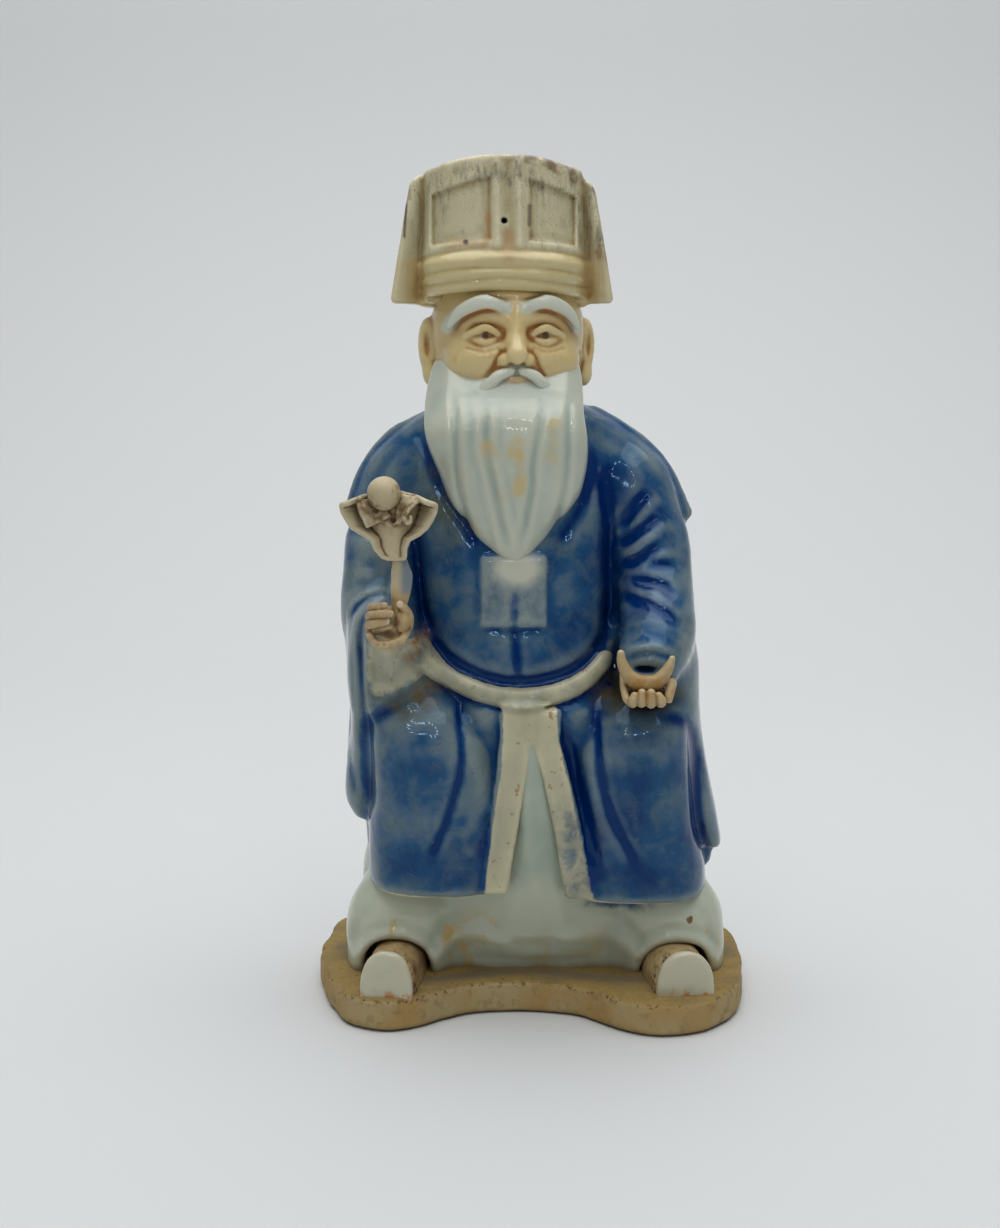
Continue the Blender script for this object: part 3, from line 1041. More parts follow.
across, deep, up = robe_points.T
front = 1.0 - ease(deep, -14.0, -6.0)
edge_creams = []
for stations, inward in ((LEFT_EDGE, 1.0), (RIGHT_EDGE, -1.0)):
    rows = rows_at(stations, up)
    aside = inward * (across - rows[:, 0])
    edge_creams.append(ease(aside + rows[:, 1], 0.2, 2.4) * fall(aside - rows[:, 1], 2.0, 3.0)
                       * fall(up, 99.0, 101.0) * ease(-deep, 20.0, 24.0))
left_cream, right_cream = edge_creams
belt_cream = 1.0 - ease(line_gap(across, up, BELT_LINE), BELT_HALF - 0.2, BELT_HALF + 0.9)
lining = (ease(across, -54.0, -46.0) * fall(across + 0.3 * (up - 117.0), -36.0, -28.0)
          * ease(up - 0.5 * (across + 48.0), 98.0, 110.0) * fall(up, 119.0, 125.0))
hem = fall(up - (38.6 - 0.0375 * (across + 30.0)), 0.2, 1.0) * 0.8


def zones(patches):
    """A soft patchwork over the front view. A patch is across, up, its two radii and its weight."""
    return sum(w * np.exp(-(((across - x) / rx) ** 2) - ((up - z) / rz) ** 2) for x, z, rx, rz, w in patches)


pool = np.zeros(len(robe_points))
for fold, half, depth in ROBE_FOLDS:
    if depth > 0.6:
        rows = np.asarray(fold, float)
        gap = line_gap(across, up, fold) / half
        spread = (0.55 * np.exp(-((gap / 0.95) ** 2)) + 0.45
                  * np.exp(-((gap / 2.3) ** 2))) * min(1.0, depth / 2.2)
        for end in (rows[0], rows[-1]):
            spread = spread * ease(np.hypot(across - end[0], up - end[1]), -0.5 * half, 4.0 * half)
        pool = np.maximum(pool, spread)
DEEP_ZONES = [
    (35, 152, 12, 22, 0.55), (38, 132, 12, 12, 0.35), (31, 172, 14, 11, 0.9), (-32, 46, 20, 11, 0.5),
    (36, 44, 22, 14, 0.6),
    (21, 66, 6, 26, 0.5), (-38, 86, 13, 11, 0.25), (38, 86, 14, 12, 0.4), (36, 66, 16, 14, 0.3),
    (-2, 112, 27, 6, 0.5), (15, 124, 10, 12, 0.45), (-24, 124, 9, 10, 0.25), (-31, 150, 5, 14, 0.25),
    (20, 150, 6, 14, 0.2),
]
PALE_ZONES = [
    (-47, 176, 12, 9, 0.8), (-51, 150, 9, 14, 0.35), (-55, 120, 7, 22, 1.1), (-54, 84, 8, 24, 0.9),
    (51, 140, 5, 30, 0.7),
    (54, 100, 6, 26, 0.7), (-5, 138, 11, 11, 0.5), (-6, 132, 20, 14, 0.25), (8, 150, 10, 8, 0.35),
    (-40, 99, 11, 5, 0.7), (40, 98, 9, 4, 0.5),
    (-14.5, 84, 5.0, 22, 1.0), (30, 122, 12, 4, 0.35), (16, 84, 4, 14, 0.5),
]
robe_marks = {
    "hollow": hollowness(robe_points, robe_faces, 40),
    "fine_hollow": hollowness(robe_points, robe_faces, 8),
    "cream": np.clip(np.max([left_cream, right_cream * (0.62 + 0.38 * ease(up, 60.0, 80.0)), belt_cream,
                             lining * 1.15, hem], axis=0) * front, 0.0, 1.0),
    "laid": (1.3 * pool + zones(DEEP_ZONES) - zones(PALE_ZONES)) * front,
    "murk": np.clip(zones([(-28, 162, 9, 12, 0.9), (-44, 172, 8, 8, 0.5), (-36, 107, 9, 5, 1.0),
                           (-43, 103, 9, 4, 0.8), (-48, 112, 4, 8, 0.5), (36, 117, 9, 4, 0.6)]), 0.0,
                               1.0) * front,
    "chalk": np.clip(fall(np.hypot((across + 4.0) / 7.4, (up - 143.4) / 5.4), 0.3, 1.5) + 0.13
                     * fall(outside_bands(across, up), -1.5, 0.2), 0.0, 1.0) * front,
    "pleat": np.max([1.0 - ease(line_gap(across, up, fold), 0.3, 1.3) for fold in PLEATS], axis=0) * front,
    "veil": np.clip(belt_cream * 0.5 + lining * 0.6 + right_cream * fall(up, 60.0, 90.0) * 0.6
                    + left_cream * 0.15, 0.0, 1.0),
    "rust": np.clip(fall(np.hypot(across + 36.5, (up - 119.5)), 2.0, 7.0)
                    + fall(np.hypot(across + 33.0, up - 104.0), 1.0, 6.0) * 0.7
                    + fall(np.hypot(across - 27.0, up - 104.0), 1.0, 6.0) * 0.6, 0.0, 1.0) * front,
    "soot": np.clip(zones([(35.5, 101.0, 8.0, 2.8, 1.1), (27.2, 105.0, 2.0, 2.8, 0.7),
                           (43.0, 104.5, 1.8, 3.0, 0.6)]), 0.0, 0.92) * front,
    "soil": np.clip(fall(np.hypot((across - 27.0) / 8.0, (up - 103.0) / 6.0), 0.5, 1.3)
                    + fall(np.hypot((across - 40.0) / 9.0, (up - 104.0) / 5.0), 0.6, 1.4)
                    + fall(np.hypot((across + 38.0) / 8.0, (up - 101.0) / 5.0), 0.5, 1.3) * 0.8, 0.0,
                    1.0) * front,
}
piece("blue_robe", robe_points, robe_faces, robe_material(), robe_marks)

# Head.
# The head is pressed with the body and finished by hand under a cream glaze that pools ochre in every line.
# The face is a calm plain one of even proportions, with white brows and a white moustache over it.
HEAD_STEP = 0.5
HEAD_CENTRE = (-7.2, 4.0, 212.0)
HEAD_YAW = 6.0
HEAD_NOD = -4.0


def both_sides(form_of):
    """The same form on either side of the face."""
    return [form_of(-1.0), form_of(1.0)]


head = Clay((-34, -36, -32), (34, 34, 26), HEAD_STEP)
head.add(ball((0, 0, 4), (25.0, 27.4, 27.5)))
head.add(ball((0, -5, -8), (20.6, 20.5, 20.0)), 6.0)
head.add(tower([(-32, 0, 2, 17, 15, 17, 2), (-10, 0, 2, 19, 16, 20, 2)]), 4.0)
for form in both_sides(lambda s: ball((s * 12.0, -16.5, -5.8), (8.2, 7.2, 6.4))):
    head.add(form, 5.0)
for form in both_sides(lambda s: ball((s * 9.6, -27.0, 2.2), (6.6, 4.2, 3.6))):
    head.cut(form, 3.5)
head.add(rod([(0, -23.2, 9), (0, -25.4, 2.5), (0, -29.0, -4.6)], [2.3, 2.2, 3.2]), 2.2)
for form in both_sides(lambda s: ball((s * 3.7, -26.2, -5.9), (2.5, 3.0, 2.1))):
    head.add(form, 1.2)
for form in both_sides(lambda s: ball((s * 1.9, -28.6, -8.1), (1.1, 1.3, 1.0))):
    head.cut(form, 0.5)
for form in both_sides(lambda s: ball((s * 9.6, -18.9, 2.0), (5.6, 5.6, 4.6))):
    head.add(form, 0.6)
for form in both_sides(lambda s: rod([(s * 4.8, -24.0, 1.6), (s * 9.6, -25.3, 3.9), (s * 15.2, -21.4, 1.6)],
        [0.8, 1.25, 0.8])):
    head.add(form, 0.9)
for form in both_sides(lambda s: rod([(s * 5.0, -23.8, 1.0), (s * 9.6, -24.5, -0.5), (s * 14.8, -21.4, 1.2)],
        [0.6, 0.95, 0.6])):
    head.add(form, 0.9)
for form in both_sides(lambda s: rod([(s * 3.4, -25.6, 10.0), (s * 9.6, -26.4, 11.8), (s * 16.6, -22.4, 9.4),
        (s * 20.2, -18.6, 5.0)], [1.5, 2.3, 2.0, 0.9])):
    head.add(form, 1.2)
head.add(rod([(-5.6, -24.0, -13.0), (0, -26.0, -12.3), (5.6, -24.0, -13.0)], [0.9, 1.4, 0.9]), 0.8)
head.add(rod([(-4.6, -23.8, -15.2), (0, -25.6, -15.9), (4.6, -23.8, -15.2)], [0.9, 1.6, 0.9]), 0.8)
head.cut(rod([(-5.8, -25.0, -13.9), (0, -27.4, -14.1), (5.8, -25.0, -13.9)], [0.35, 0.5, 0.35]), 0.4)
for form in both_sides(lambda s: rod([(s * 1.6, -27.2, -9.6), (s * 6.6, -26.4, -11.8),
        (s * 11.0, -23.6, -17.5), (s * 12.6, -22.2, -27)], [1.2, 2.0, 2.0, 1.2])):
    head.add(form, 0.7)
# ears: a long shell with a rolled rim, a hollow inside it and a full lobe
for form in both_sides(lambda s: ball((s * 25.2, 0.5, -0.5), (3.4, 5.4, 10.0), (0, s * 4.0, -s * 14.0))):
    head.add(form, 2.0)
for form in both_sides(lambda s: ball((s * 24.8, -1.0, -8.4), (2.8, 3.6, 4.2))):
    head.add(form, 1.5)
for form in both_sides(lambda s: ball((s * 26.8, -4.6, 1.6), (1.7, 3.2, 6.0), (0, s * 4.0, -s * 14.0))):
    head.cut(form, 1.0)
FACE_LINES = [
    ([(-9, 16.5), (0, 15.3), (9, 16.5)], 0.55, 0.30), ([(-8, 13.8), (0, 12.6), (8, 13.8)], 0.5, 0.26),
    ([(-15.2, -2.2), (-10, -3.6), (-5.6, -2.4)], 0.6, 0.3),
    ([(5.6, -2.4), (10, -3.6), (15.2, -2.2)], 0.6, 0.3),
    ([(-4.9, -3.6), (-7.2, -7.6), (-9.2, -11.0)], 0.9, 0.5),
    ([(4.9, -3.6), (7.2, -7.6), (9.2, -11.0)], 0.9, 0.5),
]
for line, half, depth in FACE_LINES:
    head.press(line, half, depth, deepest=-12.0)
for side in (-1.0, 1.0):
    for strand in (-0.9, 0.0, 0.9):
        head.press([(side * (3.6 + 0.4 * strand), 9.8 + strand), (side * 9.6, 11.8 + strand),
                    (side * 18.5, 7.8 + strand)], 0.32, 0.22, deepest=-12.0)
        head.press([(side * 2.4, -10.0 + 0.5 * strand), (side * (7.0 + 0.5 * strand), -12.2 + strand),
                    (side * (11.4 + 0.8 * strand), -18.0), (side * (12.8 + 0.8 * strand), -27)], 0.3, 0.2,
                        deepest=-12.0)
head_points, head_faces = head.skin(rounds=1)


def head_material():
    """Cream glaze that gathers ochre and brown in the lines, white hair, and small brown pupils."""
    material, tree, shader, place = made_material("cream_face_glaze")
    hollow = figured(tree, "ADD", kept_mark(tree, "hollow"), times(tree, kept_mark(tree, "fine_hollow"), 2.2))
    skin = glazed(tree, seen(224, 205, 150), seen(212, 189, 134), seen(150, 98, 44), hollow, 0.9, 0.5, 9.0)
    skin = blended(tree, stretched(tree, sampled(tree, place, 6.0, 4.0, 0.6), 0.5, 0.68, 0.0, 0.5), skin,
                   seen(208, 172, 108))
    white = glazed(tree, seen(216, 220, 204), seen(204, 208, 190), seen(160, 164, 142), hollow, 0.8, 0.3, 9.0)
    colour = blended(tree, kept_mark(tree, "hair"), skin, white)
    colour = blended(tree, kept_mark(tree, "pupil"), colour, seen(58, 36, 20))
    colour = blended(tree, times(tree, kept_mark(tree, "lips"), 0.35), colour, seen(176, 112, 76))
    tree.links.new(colour, shader.inputs["Base Color"])
    wet_surface(tree, shader, place, 0.1)
    return material


across, deep, up = head_points.T
sided = np.abs(across)
front = 1.0 - ease(deep, -14.0, -8.0)
brow = 1.0 - ease(line_gap(sided, up, [(3.2, 10.0), (9.6, 11.9), (16.8, 9.4), (20.4, 5.0)]), 1.6, 2.5)
tash = 1.0 - ease(line_gap(sided, up, [(1.4, -9.6), (6.6, -11.9), (11.2, -17.6), (12.8, -28)]), 1.6, 2.4)
low_hair = 1.0 - ease(up - 0.55 * np.maximum(sided - 12.0, 0.0), -22.0, -18.0)
head_marks = {
    "hollow": hollowness(head_points, head_faces, 24),
    "fine_hollow": hollowness(head_points, head_faces, 5),
    "hair": np.clip(np.max([brow * front, tash * front, low_hair * front], axis=0), 0.0, 1.0),
    "pupil": fall(np.hypot(sided - 9.4, up - 1.6), 0.9, 1.35) * front * fall(deep, -23.2, -22.6) * 0.85,
    "lips": fall(np.hypot(sided / 6.4, (up + 14.0) / 3.2), 0.7, 1.0) * front,
}
turned = np.array(Euler((math.radians(HEAD_NOD), 0.0, math.radians(HEAD_YAW))).to_matrix())
head_points = head_points @ turned.T + np.array(HEAD_CENTRE)
piece("head", head_points, head_faces, head_material(), head_marks)

# Beard.
# A long flat beard of five broad locks, pressed with the chest. Its tip runs down between the neck bands.
# White glaze, cool in the furrows, blue at its edge and ochre in patches along the locks.
BEARD_STEP = 0.55
BEARD_LEVELS = [
    (144.8, -5.0, 2.8, 6.5, 4), (147.5, -5.2, 6.0, 8.0, 6), (151.5, -5.8, 10.2, 9.0, 8),
    (158.8, -5.6, 15.6, 10.4, 10),
    (163, -5.3, 19.2, 11.0, 11), (173, -5.7, 23.2, 12.2, 13), (184, -7.5, 25.4, 12.8, 16),
    (191, -8.2, 25.0, 11.0, 20),
    (197, -8.2, 25.0, 6.0, 22), (203, -7.9, 24.9, 3.6, 23), (208, -7.6, 24.6, 1.0, 23),
]
LOCKS = [
    [(-23.6, 197), (-23.3, 191), (-22.8, 171), (-19.7, 158), (-17.5, 152)],
    [(-14.2, 194), (-13.8, 190), (-13.5, 179), (-11.0, 167), (-7.0, 148)],
    [(3.2, 194), (3.0, 188), (0.6, 177), (0.2, 168), (-2.8, 150)],
    [(12.4, 196), (11.7, 190), (11.2, 173), (9.5, 162), (6.8, 154)],
]
beard = Clay((-38, -38, 142), (24, 8, 211), BEARD_STEP)
beard.add(tower([(up, across, -20.0, half, front, back, 2.7)
                 for up, across, half, front, back in BEARD_LEVELS], 1.2))
across, deep, up = beard.whole()
off = np.abs(across + 7.2)
cheek_line = 198.6 + 0.012 * off**2 + 5.0 * ease(off, 9.0, 20.0)
cheek_deep = -24.5 + 0.035 * off**2
beard.value = np.where(deep < -6.0,
                       -soft_min(-beard.value,
                                 -(up - cheek_line - 1.5 - 1.1 * np.minimum(deep - cheek_deep, 6.0)) / 1.49,
                                 2.0),
                       beard.value)
for lock in LOCKS:
    beard.press(lock, 1.35, 0.95, deepest=-8.0, taper=8.0)
    beard.press([(x + 1.9, z) for x, z in lock], 1.3, -0.45, deepest=-8.0, taper=5.0)
    beard.press([(x - 2.1, z) for x, z in lock], 1.4, -0.35, deepest=-8.0, taper=5.0)
for shift, depth in ((4.8, 0.22), (-4.6, 0.18), (8.0, 0.14)):
    beard.press([(x + shift, z) for x, z in LOCKS[1]], 0.8, depth, deepest=-8.0, taper=5.0)
beard.value += 0.10 * ripple(*beard.whole(), 12.0, 41)
beard_points, beard_faces = beard.skin(rounds=2)


def beard_material():
    """White glaze, cool in the furrows and blue at its edge, with ochre patches on the locks."""
    material, tree, shader, place = made_material("white_beard_glaze")
    hollow = kept_mark(tree, "hollow")
    white = glazed(tree, seen(208, 208, 188), seen(190, 198, 182), seen(146, 164, 160), hollow,
                   0.85, 0.8, 14.0)
    ochre = times(tree, kept_mark(tree, "ochre"),
                  stretched(tree, sampled(tree, place, 8.0, 3.0, 0.5), 0.44, 0.62))
    white = blended(tree, ochre, white, seen(206, 184, 126))
    white = blended(tree, kept_mark(tree, "edge"), white, seen(118, 140, 156))
    tree.links.new(white, shader.inputs["Base Color"])
    wet_surface(tree, shader, place, 0.09)
    return material


across, deep, up = beard_points.T
patches = [([(-13, 181), (-10.5, 166)], 2.4), ([(-5.0, 182), (-3.6, 168)], 2.6),
           ([(7.5, 188), (6.0, 176)], 2.2), ([(2.4, 150), (3.4, 146.5)], 2.0),
           ([(-21, 158), (-18, 154)], 2.0), ([(-15, 150), (-9, 146)], 1.5)]
beard_marks = {
    "hollow": hollowness(beard_points, beard_faces, 16),
    "ochre": np.clip(sum(1.0 - ease(line_gap(across, up, line), 0.3 * wide, 1.5 * wide)
                         for line, wide in patches), 0.0, 0.8),
    "edge": ease(deep, -27.0, -22.0) * fall(up, 176.0, 190.0) * 0.6,
}
piece("beard", beard_points, beard_faces, beard_material(), beard_marks)

# Hat.
# An official's square cap, pressed in two halves: a drum with an arched top, two framed panels beside a
# ridged strip and a band of three rolls, with a curtain behind that ends in two flat wings. Thin cream
# glaze, grey with old grime.
HAT_STEP = 0.55
HAT_MIDDLE = -8.6
HAT_ARCH = 0.0105
ROOF_ARCH = 0.0074
ROOF_TOP = 271.0
WING_TOP = 266.0
WING_FOOT = 225.4
HAT_PANELS = ((-31.0, -12.2), (-0.6, 14.2))
STRIP_LINES = ((-10.2, -0.75), (-3.3, -0.75), (-6.8, 0.55))
BAND_ROLLS = (
    (241.4, 0.8, 0.7), (238.8, 1.5, -0.85), (236.0, 0.7, 0.5),
    (234.2, 0.9, -0.4), (232.6, 0.6, 0.65), (230.8, 1.2, -0.5),
)
DRUM_LEVELS = [
    (226.0, 3.0, 24.6, 23.0, 26.5, 2.8), (229.0, 3.2, 25.6, 24.6, 26.5, 3.0),
    (233.0, 3.6, 26.4, 26.9, 26.5, 3.2),
    (240.0, 4.6, 26.3, 27.6, 26.0, 3.3), (243.0, 5.0, 25.8, 27.0, 25.6, 3.4),
    (262.0, 7.5, 25.4, 26.4, 23.0, 3.4),
    (272.0, 8.6, 24.8, 26.0, 22.0, 3.4),
]


def hat_arch(across, up):
    """How far the hat's level lines sink towards its sides: much at the top, little at the band."""
    return -HAT_ARCH * (0.3 + 0.9 * np.clip((up - 243.0) / 20.0, 0.0, 1.1)) * (across - HAT_MIDDLE) ** 2


def curtain(across, deep, up):
    """The curtain: flat wings that face forward, bowed back round the drum between them."""
    down = np.clip((WING_TOP - up) / (WING_TOP - WING_FOOT), 0.0, 1.0)
    half = 28.6 + 6.9 * down
    wide = np.abs(across + 8.9) / half
    share = np.clip((wide - 0.15) / 0.85, 0.0, 1.0)
    bow = 1.0 - share * share * (3.0 - 2.0 * share)
    slope = 41.4 * 6.0 * share * (1.0 - share) / (0.85 * half)
    sheet = np.abs(deep - (-8.0 - 0.6 * down + 41.4 * bow)) / np.sqrt(1.0 + slope**2) - 1.6
    side = (wide - 1.0) * half
    ends = np.maximum(up - (ROOF_TOP - ROOF_ARCH * (across - HAT_MIDDLE) ** 2)
                      - np.minimum(0.1 * (deep + 1.0), 2.0), WING_FOOT - up)
    round_off = np.where((across > 0.0) & (up > 250.0), 5.0, 2.0)
    corner = np.hypot(np.maximum(side + round_off, 0.0), np.maximum(ends + round_off, 0.0)) - round_off
    rim = np.maximum(np.maximum(side, ends), corner)
    return -soft_min(-sheet, -rim, 1.4)


hat = Clay((-48, -30, 223), (31, 40, 273), HAT_STEP)
hat.add(tower([(up, HAT_MIDDLE + 0.02 * (236 - up), deep, half, front, back, square)
               for up, deep, half, front, back, square in DRUM_LEVELS], 1.0))
across, deep, up = hat.whole()
roof = up - (ROOF_TOP - ROOF_ARCH * (across - HAT_MIDDLE) ** 2 - 0.004 * (deep + 18.0) ** 2 * (deep > -18.0))
hat.value = -soft_min(-hat.value, -roof, 1.6)
hat.add(((-46, -13, 224), (29, 37, 273), curtain), 4.5)
foot = 229.2 + hat_arch(across, up) - up
hat.value = np.where((deep < -5.0) & (np.abs(across - HAT_MIDDLE) < 26.6),
                     -soft_min(-hat.value, -foot, 1.2), hat.value)
# the panels are sunk, the strip between them is ridged, and three rolls run round the band
level = up - hat_arch(across, up)
for low, high in HAT_PANELS:
    outside = np.maximum(np.abs(across - 0.5 * (low + high)) - 0.5 * (high - low),
                         np.abs(level - 254.3) - 9.9)
    hat.value += 1.5 * fall(outside, -0.9, 0.4) * fall(deep, -4.0, -1.0)
    inner = np.abs(outside + 2.6)
    hat.value += 0.15 * np.exp(-((inner / 0.7) ** 2)) * fall(deep, -4.0, -1.0)
for across_at, depth in STRIP_LINES:
    hat.press([(across_at, 243.0), (across_at - 0.3, 268.0)], 1.25, depth, deepest=-8.0)
for height, half, depth in BAND_ROLLS:
    roll = np.exp(-(((level + 0.25 * np.sin(0.21 * across + height) - height) / half) ** 2))
    hat.value += depth * roll * fall(deep, -6.0, 0.0) * fall(np.abs(across - HAT_MIDDLE), 24.0, 27.5)
hat.press([(-33.6, 266), (-34.2, 250), (-35.4, 228)], 1.3, 0.9, deepest=4.0)
hat.press([(17.0, 265), (17.8, 250), (19.0, 228)], 1.3, 0.9, deepest=4.0)
hat.cut(rod([(-8.2, -24.0, 250.6), (-8.2, -16.0, 250.2)], [0.9, 0.9]), 0.3)
hat.value += 0.10 * ripple(*hat.whole(), 14.0, 51) + 0.05 * ripple(*hat.whole(), 4.5, 52)
hat_points, hat_faces = hat.skin(rounds=2)


def hat_material():
    """Thin cream glaze: ochre lines, grey streaks of grime, amber at the wings' feet and a brown top rim."""
    material, tree, shader, place = made_material("grimy_cream_glaze")
    hollow = kept_mark(tree, "hollow")
    fine = times(tree, kept_mark(tree, "fine_hollow"), 1.8)
    cream = glazed(tree, seen(214, 206, 172), seen(196, 188, 152), seen(164, 150, 108),
                   figured(tree, "ADD", hollow, fine), 0.7, 0.5, 11.0)
    band = kept_mark(tree, "band")
    cream = blended(tree, times(tree, band, 0.75), cream, seen(212, 194, 138))
    ochre = stretched(tree, kept_mark(tree, "fine_hollow"), 0.06, 0.26, 0.0, 0.75)
    ochre = times(tree, ochre, stretched(tree, sampled(tree, place, 7.0, 3.0), 0.38, 0.6))
    cream = blended(tree, ochre, cream, seen(160, 118, 62))
    long_way = joined(tree, "ShaderNodeMapping", {"Vector": place, "Scale": (1.0, 1.0, 0.3)}).outputs[0]
    streak = stretched(tree, sampled(tree, long_way, 2.6, 6.0, 0.72, 0.3), 0.47, 0.70)
    cloud = stretched(tree, sampled(tree, place, 12.0, 3.0, 0.5), 0.36, 0.62)
    grime = times(tree, times(tree, streak, cloud), kept_mark(tree, "grime"))
    cream = blended(tree, grime, cream, seen(84, 80, 68))
    grit = stretched(tree, sampled(tree, place, 0.55, 2.0, 0.5), 0.63, 0.69, 0.0, 0.6)
    cream = blended(tree, times(tree, grit, kept_mark(tree, "grime")), cream, seen(64, 60, 50))
    amber = times(tree, kept_mark(tree, "amber"),
                  stretched(tree, sampled(tree, place, 8.0, 4.0, 0.6), 0.3, 0.62))
    cream = blended(tree, amber, cream, seen(178, 130, 72))
    cream = blended(tree, kept_mark(tree, "dark"), cream, seen(48, 26, 20))
    rust = times(tree, kept_mark(tree, "rim"), stretched(tree, sampled(tree, place, 4.0, 4.0), 0.36, 0.58))
    cream = blended(tree, rust, cream, seen(108, 82, 58))
    tree.links.new(cream, shader.inputs["Base Color"])
    wet_surface(tree, shader, place, 0.1, 0.2)
    tree.links.new(stretched(tree, band, 0.0, 1.0, 0.36, 0.1), shader.inputs["Roughness"])
    return material


across, deep, up = hat_points.T
front = 1.0 - ease(deep, 2.0, 8.0)
arch = hat_arch(across, up)
wing_foot = [(-37.0, 236), (-35.0, 228)], [(20.5, 240), (20.0, 229)]
hat_marks = {
    "hollow": hollowness(hat_points, hat_faces, 20),
    "fine_hollow": hollowness(hat_points, hat_faces, 5),
    "band": fall(up - arch, 240.5, 243.5) * (1.0 - 0.7 * ease(np.abs(across - HAT_MIDDLE), 27.0, 31.0)),
    "grime": np.clip(0.5 + 0.45 * ease(across, -12.0, 14.0) + 0.5 * ease(up - arch, 258, 268) - 0.75
                     * fall(up - arch, 240, 244) * front, 0.0, 1.0),
    "amber": front * np.clip(
        sum(0.42 - 0.42 * ease(line_gap(across, up, line), 1.0, 6.5) for line in wing_foot)
        + 0.8 * fall(line_gap(across, up, [(-26.5, 242.6), (-20, 243.4), (-13.6, 243.8), (-13.2, 253)]),
                     0.4, 1.6)
        + 0.5 * fall(line_gap(across, up, [(-6.8, 246), (-6.8, 238)]), 1.0, 3.0), 0.0, 1.0),
    "dark": np.clip(fall(np.hypot(across + 8.2, up - 250.4), 0.8, 1.2)
                    + fall(np.hypot(across + 20.1, up - 243.9), 0.5, 1.2)
                    + 0.8 * fall(line_gap(across, up, [(-38.9, 256.4), (-39.6, 246.2)]), 0.2, 0.6)
                    + 0.6 * fall(line_gap(across, up, [(-0.4, 255), (-0.5, 249)]), 0.3, 0.9), 0.0, 1.0)
                        * fall(deep, 3.0, 6.0),
    "rim": ease(up - arch, 267.9, 269.2) * fall(deep, -12.0, 0.0) * ease(across, -16.0, -4.0) * 0.8,
}
piece("hat", hat_points, hat_faces, hat_material(), hat_marks)

# Fist and ruyi.
# The fist and the short ruyi sceptre it holds are modelled by hand from strips and pinches of clay, then
# luted on. They stay bare biscuit but for a lick of blue on the stem, with iron brown in their creases.
FIST_STEP = 0.3


def leaf(surface, rows, columns):
    """A bent strip of clay. surface gives across, deep, up and half thickness at shares down and along it."""
    table = np.array([surface(s, t) for s in np.linspace(0, 1, rows) for t in np.linspace(0, 1, columns)])
    tree = KDTree(len(table))
    for index, row in enumerate(table):
        tree.insert(row[:3], index)
    tree.balance()
    thick = table[:, 3]

    def distance(across, deep, up):
        across, deep, up = np.broadcast_arrays(across, deep, up)
        found = [tree.find(place) for place in zip(across.ravel(), deep.ravel(), up.ravel())]
        away = np.array([hit[2] - thick[hit[1]] for hit in found], np.float32)
        return away.reshape(across.shape)

    return table[:, :3].min(axis=0) - thick.max(), table[:, :3].max(axis=0) + thick.max(), distance


# share up, height, left edge, right edge, how deep its side valleys are, how far its rims come forward
TONGUE_TABLE = [
    (0.0, 147.9, -43.4, -38.6, 0.1, 0.2), (0.06, 148.6, -45.2, -38.2, 0.3, 0.6),
    (0.18, 151.2, -47.2, -38.0, 0.6, 1.4),
    (0.32, 153.9, -48.2, -36.9, 1.2, 2.3), (0.44, 155.6, -50.6, -33.9, 1.9, 3.2),
    (0.56, 157.6, -53.8, -31.6, 2.6, 4.0),
    (0.70, 160.2, -55.4, -30.0, 3.4, 4.7), (0.80, 162.4, -56.6, -29.0, 3.6, 5.0),
    (0.88, 164.4, -57.0, -28.7, 3.4, 4.9), (0.94, 165.9, -56.4, -29.4, 3.0, 4.8),
    (1.0, 167.2, -54.2, -31.6, 2.4, 4.4),
]


def tongue(s, t):
    """The sceptre's head: a tongue that swells upward into two open scoops with thin raised rims."""
    table = np.array(TONGUE_TABLE)
    up, left, right, valley, rim = [float(np.interp(s, table[:, 0], table[:, i])) for i in (1, 2, 3, 4, 5)]
    middle_at = -42.0 - 0.8 * s
    wide = 2.0 * t - 1.0
    reach = (middle_at - left) if wide < 0.0 else (right - middle_at)
    share = abs(wide)
    bend = share ** 0.85
    across = middle_at + math.copysign(bend * reach, wide)
    deep = (valley * math.exp(-(((share - 0.58) / 0.24) ** 2)) - rim * float(ease(share, 0.60, 1.0))
            + 0.9 * s * (1.0 - share))
    top = float(ease(s, 0.86, 1.0)) * float(ease(share, 0.35, 0.6))
    lift = 1.6 * max(0.0, 1.0 - share / 0.4) * s**3 - 1.7 * top * share**3
    return (across, -43.4 + deep - 1.9 * top - 0.8 * (1.0 - s) ** 2, up + lift, 0.6 + 0.25 * share * s)


# the free rim of each flap, and the line where it meets the throat below the ball
INNER_LIPS = [
    ([(-52.2, -46.2, 165.0), (-51.2, -47.2, 162.0), (-50.2, -47.2, 160.0), (-49.5, -46.6, 158.1)],
     [(-46.5, -43.0, 166.2), (-45.4, -43.4, 164.0), (-44.0, -43.6, 162.2), (-42.7, -44.0, 160.9)]),
    ([(-33.8, -46.4, 165.9), (-35.6, -47.4, 164.4), (-37.2, -47.6, 162.4), (-38.3, -47.2, 160.3)],
     [(-38.8, -43.0, 167.0), (-39.8, -43.4, 164.4), (-40.6, -43.8, 161.4), (-41.5, -44.2, 158.5)]),
]


def inner_lip(rim, throat):
    """A small flap that turns back from a scoop's inner rim and hangs into the throat below the ball."""
    rim_line, throat_line = smooth_line(rim, 40), smooth_line(throat, 40)

    def surface(s, t):
        index = int(round(40 * t))
        place = rim_line[index] + s * (throat_line[index] - rim_line[index])
        return (place[0], place[1] + 0.9 * math.sin(math.pi * s), place[2], 0.62 - 0.12 * s)
    return surface


FIST_MIDDLE = (-40.5, -41.0, 132.8)
FIST_SIZE = 0.82


